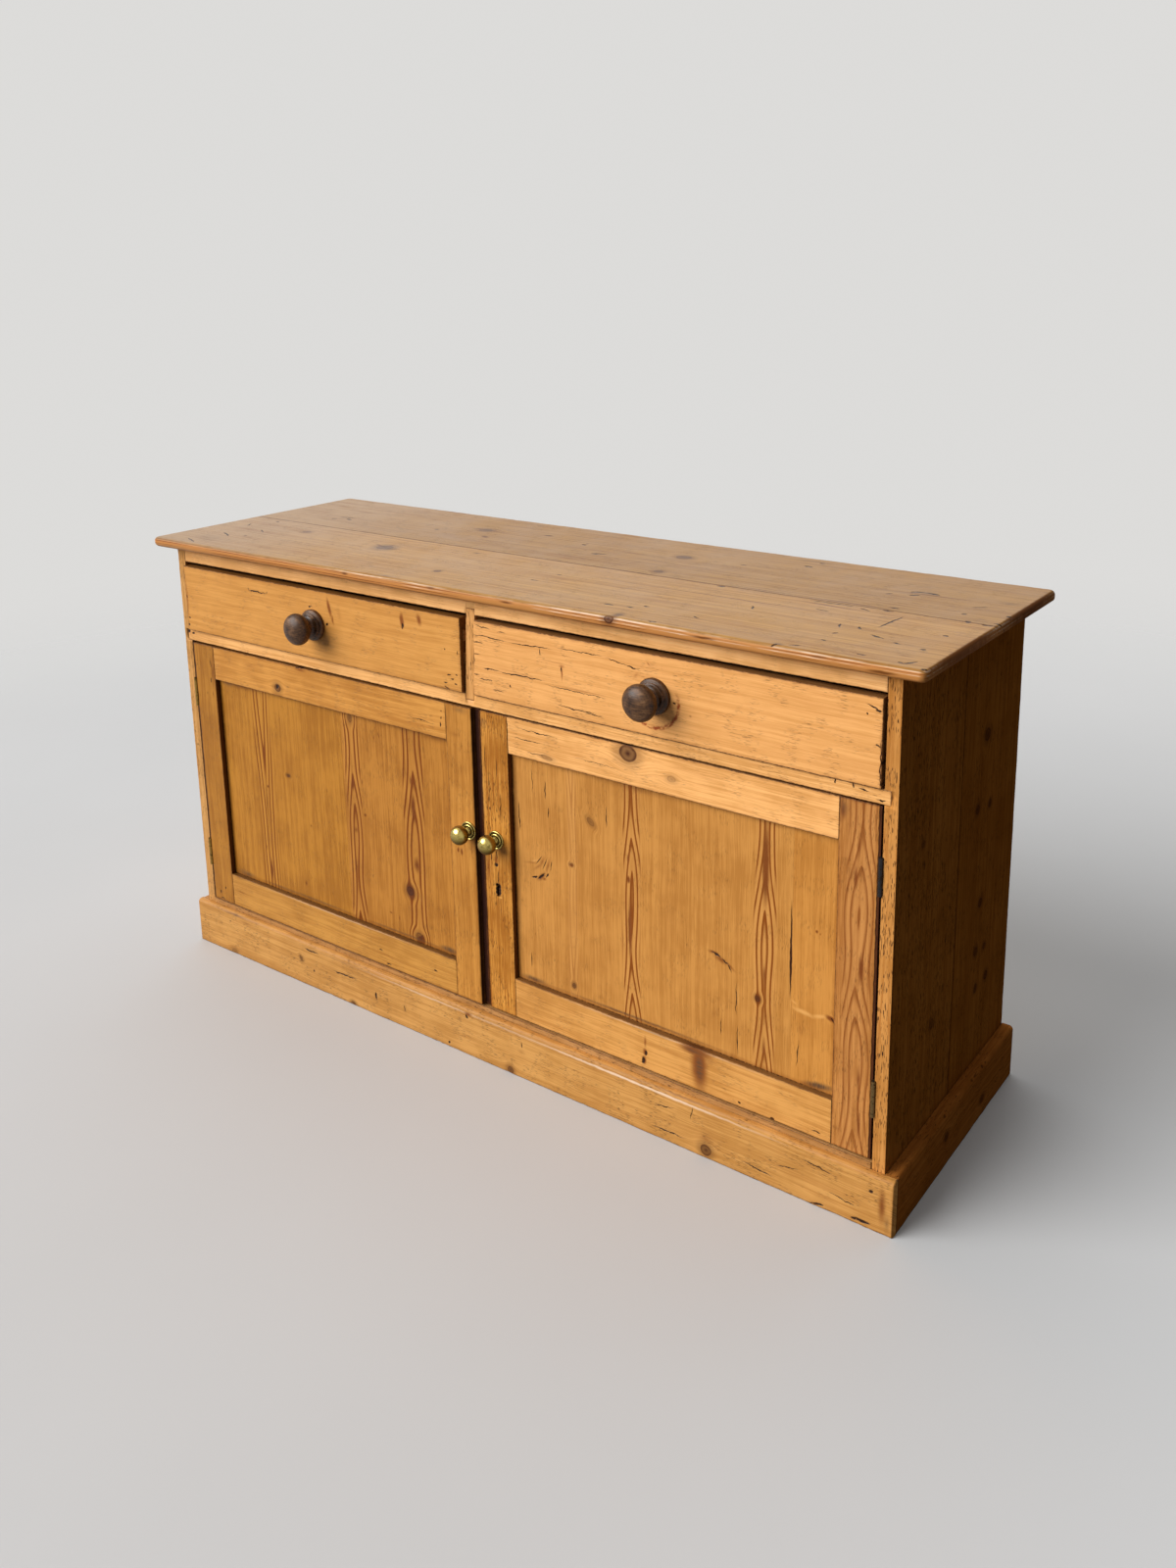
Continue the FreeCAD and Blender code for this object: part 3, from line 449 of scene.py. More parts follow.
        # Multiply the colour of the faces across the board, such as a side's front edge: on the
        # right side this lifts them out of the darker colour painted there as shade
        if edge_tint:
            self.shade = self.mix(1 - self.facing, self.shade, edge_tint, "MULTIPLY")

    def polish(self, shine, roughness):
        """Wax, which wood that faces right has lost."""
        bare = self.normal("X").fade(0.15, 0.6)
        self.shader.inputs["Specular IOR Level"].default_value = shine
        gloss = self.cloud * 0.25 + self.fibre * 0.2 + bare * 0.5 + roughness
        return self.finish(self.shade, gloss, self.height)


def pine(name, face, grain, colour, box, seed, contrast=0.5, lines=0.25, spacing=9, specks=0.2,
         strips=(), knots=(), cracks=(), browns_and_shade=(), dust_and_shade=(), pales_and_highlights=(), painted_highlights=(), seams_and_gap_shade=(),
         stains=(), grime_and_shade=0.3, grime_and_shade_reach=10, joint=0.75, rim=0, edge_tint=None,
         nosing=None, pale_reflection=None, mottle=1, shine=0.15, roughness=0.42):
    """Pine whose grain runs along one axis of a face, with this board's own marks, and its painted
    shade and highlights.
    """
    wood = Pine(name, face, grain, colour, seed, unroll=bool(nosing))
    knot_mask = wood.bend_grain(knots)
    wood.lay_colour(contrast, mottle, pale_reflection)
    wood.lay_lines(lines, spacing)
    wood.lay_arches(strips)
    wood.lay_dashes(specks)
    if nosing:
        wood.rub_nosing(nosing)
    if knot_mask:
        wood.paint(knot_mask, KNOT)
    # Pale marks, and painted highlights on a dent, by the keyhole and along an edge
    wood.lay_marks(pales_and_highlights, tinted(colour, 1.3, 1.5, 2.1), 0.9)
    # Painted highlights along rounded and worn edges
    wood.lay_marks(painted_highlights, PAINTED_HIGHLIGHT, 0.8)
    # Brown marks, and painted shade on the top's right end
    wood.lay_marks(browns_and_shade, tinted(colour, 0.38, 0.24, 0.18), 0.7, drop=0.1)
    # Dust, and painted shade in corners and along recesses
    wood.lay_marks(dust_and_shade, DUST_AND_SHADE, 0.9, patchy=True)
    wood.lay_marks(cracks, CRACK, 0.4, drop=0.9, torn=True)
    # Dark joints, and painted shade in the gaps beside the doors
    wood.lay_marks(seams_and_gap_shade, GAP, 0.4, drop=0.9)
    wood.lay_stains(stains)
    wood.lay_grime_and_shade(box, grime_and_shade, grime_and_shade_reach, joint, rim, edge_tint)
    return wood.polish(shine, roughness)


# Meshes

def link(name, mesh):
    piece = bpy.data.objects.new(name, mesh)
    bpy.context.scene.collection.objects.link(piece)
    return piece


def stand_in(piece, *names):
    """Let a piece take the place of CAD nodes on their body, and hide the nodes."""
    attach(piece, nodes[names[0]]["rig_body"])
    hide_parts(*names)


def smooth(mesh, degrees):
    mesh.polygons.foreach_set("use_smooth", [True] * len(mesh.polygons))
    mesh.set_sharp_from_angle(angle=math.radians(degrees))


# Edges shorter than this stay sharp, and a board is cut across at each step
SHORTEST_EDGE = 24
WEAR_STEP = 9
# How far apart the hollows and the nicks of wear lie
HOLLOWS = 35
DENTS = 9
NICKS = 6


def worn(name, axis, material, ease=0.9, wear=0.35):
    """A copy of a board with eased edges, worn unevenly along its length."""
    mesh = bmesh.new()
    mesh.from_mesh(nodes[name].data)
    bmesh.ops.remove_doubles(mesh, verts=mesh.verts, dist=0.002 * MM)
    bmesh.ops.dissolve_limit(mesh, angle_limit=math.radians(0.5), verts=mesh.verts,
                             edges=mesh.edges)
    mesh.normal_update()
    chosen = mesh.edges.layers.float.new("chosen")
    for edge in mesh.edges:
        if len(edge.link_faces) == 2 and edge.is_convex:
            sharp = edge.calc_face_angle() > math.radians(50)
            edge[chosen] = float(sharp and edge.calc_length() > SHORTEST_EDGE * MM)

    low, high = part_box(name)
    normal = Vector([float(axis == letter) for letter in "xyz"])
    start = low.dot(normal)
    count = int((high.dot(normal) - start) / (WEAR_STEP * MM))
    for number in range(1, count):
        cut = start + number * (high.dot(normal) - start) / count
        geometry = mesh.verts[:] + mesh.edges[:] + mesh.faces[:]
        bmesh.ops.bisect_plane(mesh, geom=geometry, dist=0.01 * MM, plane_co=normal * cut,
                               plane_no=normal)

    edges = [edge for edge in mesh.edges if edge[chosen] > 0.5]
    bmesh.ops.bevel(mesh, geom=edges, offset=ease * MM, offset_type="OFFSET", segments=2,
                    profile=0.5, affect="EDGES", clamp_overlap=False)
    mesh.normal_update()
    for vertex in mesh.verts:
        point = vertex.co / MM
        rub = 0.5 + noise.noise(point / HOLLOWS) + 0.5 * noise.noise(point / DENTS)
        nick = max(0.0, noise.noise(point / NICKS + Vector((7, 3, 5))) - 0.38) * 4
        vertex.co -= vertex.normal * (max(0.0, rub) + nick) * wear * MM
    copy = bpy.data.meshes.new(name + "_worn")
    mesh.to_mesh(copy)
    mesh.free()
    smooth(copy, 40)
    copy.materials.append(material)
    piece = link(name + "_worn", copy)
    piece.modifiers.new("even_shading", "WEIGHTED_NORMAL").keep_sharp = True
    stand_in(piece, name)


def lathe(name, profile, centre, material, node, steps=72):
    """A turned piece: (radius, distance out of the face) pairs, spun about the Y axis."""
    mesh = bmesh.new()
    rings = []
    for radius, reach in profile:
        ring = []
        for step in range(steps if radius else 1):
            angle = 2 * math.pi * step / steps
            offset = Vector((radius * math.cos(angle), -reach, radius * math.sin(angle)))
            ring.append(mesh.verts.new((centre + offset) * MM))
        rings.append(ring)
    for first, second in zip(rings, rings[1:]):
        for step in range(steps):
            corners = [first[step % len(first)], first[(step + 1) % len(first)],
                       second[(step + 1) % len(second)], second[step % len(second)]]
            mesh.faces.new(list(dict.fromkeys(corners)))
    bmesh.ops.recalc_face_normals(mesh, faces=mesh.faces)
    copy = bpy.data.meshes.new(name)
    mesh.to_mesh(copy)
    mesh.free()
    smooth(copy, 45)
    copy.materials.append(material)
    stand_in(link(name, copy), node)


def swollen(start, end, radius, power, steps=26):
    """The profile of a flattened ball, from its neck to its front."""
    middle = (start[1] + end) / 2
    half = (end - start[1]) / 2
    points = []
    for step in range(1, steps + 1):
        angle = math.pi * step / steps
        out = -math.cos(angle)
        reach = middle + half * math.copysign(abs(out) ** (2 / power), out)
        width = radius * math.sin(angle) ** (2 / power)
        if step == steps:
            points.append((0.0, end))
        elif width > start[0] or out > 0:
            points.append((width, reach))
    return points


# Metals and turned wood

DOOR_MIDDLE = 372.5
# Radii of the plates' grooves, which lie behind the balls
PLATE_GROOVES = (8.1, 12.4)
PLATE_FRONT = -7


def turned_wood(name):
    graph = Graph(bpy.data.materials.new(name))
    x, y, z = graph.place()
    grain = graph.noise(graph.vector(x / 14, y / 3, z / 2.4), 3.0, 0.6) - 0.5
    cloud = graph.noise(graph.vector(x / 16, y / 16, z / 16), 3.0, 0.6) - 0.5
    shade = graph.mix(grain * 1.6 + cloud * 1.8 + 0.40, srgb(44, 25, 12), srgb(116, 79, 48))
    worn_off = (cloud * 2 + grain + 0.1).fade(0.15, 0.75)
    shade = graph.mix(worn_off * 0.35, shade, srgb(158, 120, 84))
    graph.shader.inputs["Specular IOR Level"].default_value = 0.3
    return graph.finish(shade, cloud * 0.5 + 0.36, grain * 0.12 + cloud * 0.2)


def old_metal(name, bright, dull, roughness, tarnish, axes=(), upper=None):
    """Metal that has gone dull in patches and in the grooves of turned plates, with a painted dark
    reflection on the faces that look down and on those that look sideways.
    """
    graph = Graph(bpy.data.materials.new(name))
    x, y, z = graph.place()
    cloud = graph.noise(graph.vector(x / 7, y / 7, z / 7), 3.0, 0.6)
    speck = graph.noise(graph.vector(x / 1.3, y / 1.3, z / 1.3), 1.0)
    # Painted dark reflection on faces that look down, and on faces that look sideways rather than
    # to the front or back
    painted_dark_below = graph.normal("Z").fade(0.35, -0.5)
    painted_dark_sideways = graph.normal("Y").size().fade(0.7, 0.2)
    tarnish_and_dark_reflection = (cloud + speck * 0.35).fade(0.62, 0.92) * tarnish
    tarnish_and_dark_reflection = tarnish_and_dark_reflection.or_more(painted_dark_below * 0.95).or_more(painted_dark_sideways * 0.6)
    for axis_x, axis_z in axes:
        radius = ((x - axis_x) * (x - axis_x) + (z - axis_z) * (z - axis_z)).root()
        for groove in PLATE_GROOVES:
            ring = (radius - groove).size().fade(1.5, 0.8) * y.fade(PLATE_FRONT - 1, PLATE_FRONT)
            tarnish_and_dark_reflection = tarnish_and_dark_reflection.or_more(ring)
    if upper:
        bright = graph.mix(z.fade(DOOR_MIDDLE - 5, DOOR_MIDDLE + 5), bright, upper)
    graph.shader.inputs["Metallic"].default_value = 1.0
    return graph.finish(graph.mix(tarnish_and_dark_reflection, bright, dull), tarnish_and_dark_reflection * 0.3 + roughness, speck * 0.03)


# Lights, floor and background

def seen(graph):
    """1 for what the camera, a mirror or glass sees, and 0 for light that falls on things."""
    rays = [graph.node("LightPath", {}, output=ray + " Ray")
            for ray in ("Is Camera", "Is Glossy", "Is Transmission")]
    return rays[0].or_more(rays[1]).or_more(rays[2])


def make_light(name, direction, strength, angle):
    lamp = bpy.data.lights.new(name, "SUN")
    lamp.energy = strength
    lamp.angle = math.radians(angle)
    piece = bpy.data.objects.new(name, lamp)
    piece.rotation_mode = "QUATERNION"
    piece.rotation_quaternion = Vector(direction).to_track_quat("Z", "Y")
    bpy.context.scene.collection.objects.link(piece)


# The way to each light, its strength and its width in degrees
LIGHTS = {
    "window": ((-0.60, -0.80, 0.55), 3.8, 50),
    "room": ((-0.45, 0.55, 0.85), 1.3, 90),
}
SKY_COLOUR = (1.0, 0.99, 0.97, 1.0)
SKY_SEEN = 0.72
SKY_LIGHT = 0.11
FLOOR_RADIUS = 4200
FLOOR_CLOUD = 900
# The floor's two colours as seen, and the one that it throws back on things
FLOOR_DARK = srgb(200, 200, 200)
FLOOR_PALE = srgb(208, 208, 208)
FLOOR_BOUNCE = srgb(92, 90, 88)


def make_studio():
    for name, light in LIGHTS.items():
        make_light(name, *light)

    sky = Graph(bpy.data.worlds.new("studio"), shader="Background")
    sky.join(SKY_COLOUR, sky.shader.inputs["Color"])
    sky.join(seen(sky) * (SKY_SEEN - SKY_LIGHT) + SKY_LIGHT, sky.shader.inputs["Strength"])
    bpy.context.scene.world = sky.owner

    floor = bmesh.new()
    bmesh.ops.create_circle(floor, cap_ends=True, segments=96, radius=FLOOR_RADIUS * MM)
    mesh = bpy.data.meshes.new("floor")
    floor.to_mesh(mesh)
    floor.free()
    graph = Graph(bpy.data.materials.new("pale_floor"))
    x, y, z = graph.place()
    cloud = graph.cells(x, y, (FLOOR_CLOUD, FLOOR_CLOUD), 0.0, 3.0)
    colour = graph.mix(seen(graph), FLOOR_BOUNCE, graph.mix(cloud, FLOOR_DARK, FLOOR_PALE))
    away = (x * x + (y + FRONT_Y) * (y + FRONT_Y)).root()
    graph.join(away.fade(FLOOR_RADIUS, FLOOR_RADIUS * 0.4), graph.shader.inputs["Alpha"])
    mesh.materials.append(graph.finish(colour, 0.8, cloud))
    link("floor", mesh)


# Boards, with their own marks and with painted shade and highlights. On a board's face a and b
# are its two places in the tables' millimetres: x and z on a front, x and y on the top, y and z
# on a side. Then
#   knots, cracks, seams and painted gap shade, browns and painted shade, dusts and painted shade,
#   pales and painted highlights, and painted highlights: a, b, reach along a, reach along b,
#       and the strength and the angle in degrees where they aren't 1 and 0
#   strips of arched grain: middle, half width, length of an arch, nesting, swing, strength
#   stains: a, b, radius, width of the ring, strength

# A painted pale reflection on the top, towards its left end
PALE_REFLECTION = srgb(173, 139, 103)
NOSING = srgb(203, 136, 74)
TOP = dict(face="top", grain="a", nosing=NOSING, pale_reflection=PALE_REFLECTION, lines=0.5, contrast=0.45,
           mottle=0.4, specks=0.15, shine=0.1, grime_and_shade=0.35, joint=0.8, ease=0.8)
TOP_FRONT = dict(
    TOP, colour=srgb(181, 134, 72), roughness=0.4, grime_and_shade_reach=7,
    knots=((-337, 147, 17, 15, 0.75), (-572, 169, 10, 8, 0.7), (-121, 57, 7, 6, 0.9),
           (296, -28, 9, 8)),
    cracks=((655, 170, 42, 2.2, 1, 85), (671, 89, 15, 2.4, 1, -20), (748, 226, 5.1, 3.4),
            (748, 143, 5.1, 3.4), (748, 64, 5.1, 3.4), (747, -6, 4.2, 3.4),
            (-690, 70, 24, 2.4, 0.9, -24), (-729, 158, 14, 2, 0.9, -61), (-704, 208, 6, 3.4, 0.9),
            (-643, 79, 5.1, 2.7, 0.8, 60), (-653, 128, 15, 2, 0.8, -35),
            (-701, -3, 27, 2, 0.7, -25), (310, 53, 6, 3.4), (256, 32, 11.9, 2.7),
            (292, 36, 8, 2.4, 0.9), (339, 221, 8.5, 3.4), (538, 220, 46, 2, 0.8, 2),
            (541, 176, 14, 2, 0.9, -2), (595, 212, 14, 2, 0.7, -25), (625, 224, 12, 2.4),
            (614, 74, 5.1, 2.7, 0.8, 50), (617, 34, 6, 2.7, 0.8), (448, 134, 12, 2, 0.8, -60),
            (602, 113, 12, 2, 0.7, -60), (632, 116, 9, 2, 0.8, -49), (571, -22, 6, 2.7, 0.9, 60),
            (597, -9, 10, 2, 0.8, 20), (689, -1, 9, 2.3, 0.9), (758, -1, 13.6, 2.7, 0.9, 54),
            (707, 73, 9, 2, 0.7, -10), (407, 40, 8, 2, 0.7, -28), (367, -14, 8.5, 2.7, 0.9, 10),
            (60, 94, 10, 2, 0.7), (70, 146, 7, 2, 0.6), (785, -17, 5.1, 3.4, 1, 33),
            (776, 225, 10.2, 2.7, 0.9)),
    # The first brown mark, along the right end, is painted shade
    browns_and_shade=((789, 100, 5, 190), (-352, 152, 34, 5, 0.8, -22), (-318, 140, 34, 4, 0.7, 24),
            (-337, 160, 8, 24, 0.5, 10), (-580, 172, 22, 3, 0.6), (380, 165, 330, 2.6, 0.8, 0.2),
            (640, 190, 60, 2.4, 0.7, 12), (540, 205, 90, 4, 0.7, -4), (270, 38, 90, 2, 0.5),
            (400, 34, 70, 2, 0.5), (-150, 20, 12, 3, 0.6, 20), (-440, 114, 7, 4, 0.6),
            (-600, 64, 10, 4, 0.5), (740, 25, 20, 3, 0.6), (303, -14, 9, 22, 0.5),
            (-260, -30, 12, 4, 0.8), (-60, -29, 16, 4, 0.7), (100, -31, 20, 3, 0.8),
            (460, -32, 30, 3, 0.8), (640, -30, 20, 3, 0.7), (730, -36, 30, 3, 0.9)),
    dust_and_shade=((-335, 145, 40, 34, 0.8), (-680, 30, 90, 50, 0.35), (-170, -16, 26, 6, 0.8),
           (303, -8, 16, 18, 0.7), (575, -16, 14, 8, 0.7), (-160, 200, 16, 6, 0.7)))
TOP_BACK = dict(
    TOP, colour=srgb(165, 122, 67), grime_and_shade_reach=6,
    knots=((-286, 368, 15, 12, 0.7), (173, 369, 15, 12, 0.8), (196, 255, 9, 8, 0.8)),
    cracks=((-616, 317, 20.4, 2.7, 0.9, 17), (-598, 304, 10.2, 3.4, 1, -16),
            (-631, 293, 7.6, 2.7, 0.9, 32), (-373, 322, 6.8, 3.4, 0.9, 30),
            (22, 309, 8.5, 4.1, 1, 15), (30, 314, 15.3, 2.7, 0.8, 15),
            (-41, 360, 6.8, 3.4, 0.8, -17), (-149, 392, 10.2, 2.7, 0.6, 30), (390, 421, 9.3, 4.1),
            (399, 454, 6, 3.4, 0.8), (291, 372, 6.8, 2.7, 0.8), (616, 354, 11.9, 3.4, 1, 22),
            (642, 355, 11.9, 3.4, 1, -10), (620, 333, 10.2, 3.1, 1, 33),
            (582, 320, 7.6, 2.7, 0.9, 48), (745, 231, 6, 3.4, 1, 20), (727, 268, 5.1, 3.4, 0.8),
            (731, 316, 15, 2, 0.7, 33), (625, 244, 11, 2.4, 0.9, 5), (785, 240, 7.6, 2.7),
            (785, 288, 5.1, 3.4, 0.9)),
    # The first brown mark, along the right end, is painted shade
    browns_and_shade=((789, 360, 5, 190), (-300, 372, 36, 5, 0.7, 8), (174, 371, 34, 6, 0.6, -6),
            (-245, 320, 18, 9, 0.8, -25), (-147, 390, 20, 6, 0.6), (-40, 370, 4, 12, 0.5, 30),
            (140, 322, 70, 5, 0.45, 2), (300, 328, 80, 4, 0.4), (640, 345, 130, 6, 0.5, 3),
            (400, 236, 70, 3, 0.6), (560, 236, 100, 3, 0.7)),
    dust_and_shade=((630, 356, 26, 10, 0.9), (174, 372, 20, 15, 0.7), (-282, 370, 24, 12, 0.6),
           (380, 462, 60, 8, 0.5), (760, 360, 30, 14, 0.5)))

LEFT_OPENING = ((-665.5, -62.4), (169.0, 576.0))
RIGHT_OPENING = ((69.6, 662.5), (174.0, 578.0))
SIDE = dict(face="side", grain="b", lines=0.4, grime_and_shade=0.35, grime_and_shade_reach=7)
SIDE_PLINTH = dict(face="side", grain="a", lines=0.3, spacing=8, specks=0.3, grime_and_shade=0.4,
                   grime_and_shade_reach=6, wear=0.5, ease=0.7)
# rim darkens the edge faces of drawer fronts, rails and stiles: painted shade, with grime, in the
# gaps round them
DRAWER = dict(grain="a", rim=0.75, lines=0.16, contrast=0.32)
RAIL = dict(grain="a", rim=0.75, lines=0.24, spacing=10, specks=0.08)
STILE = dict(grain="b", rim=0.75, lines=0.3, spacing=7, specks=0.12, grime_and_shade=0.4, grime_and_shade_reach=5)
# Panels are darkened near the frame round them with painted shade and grime
PANEL = dict(grain="b", lines=0.06, specks=0.05, grime_and_shade=0.5, grime_and_shade_reach=9, joint=0.7, ease=0.2,
             wear=0.0)

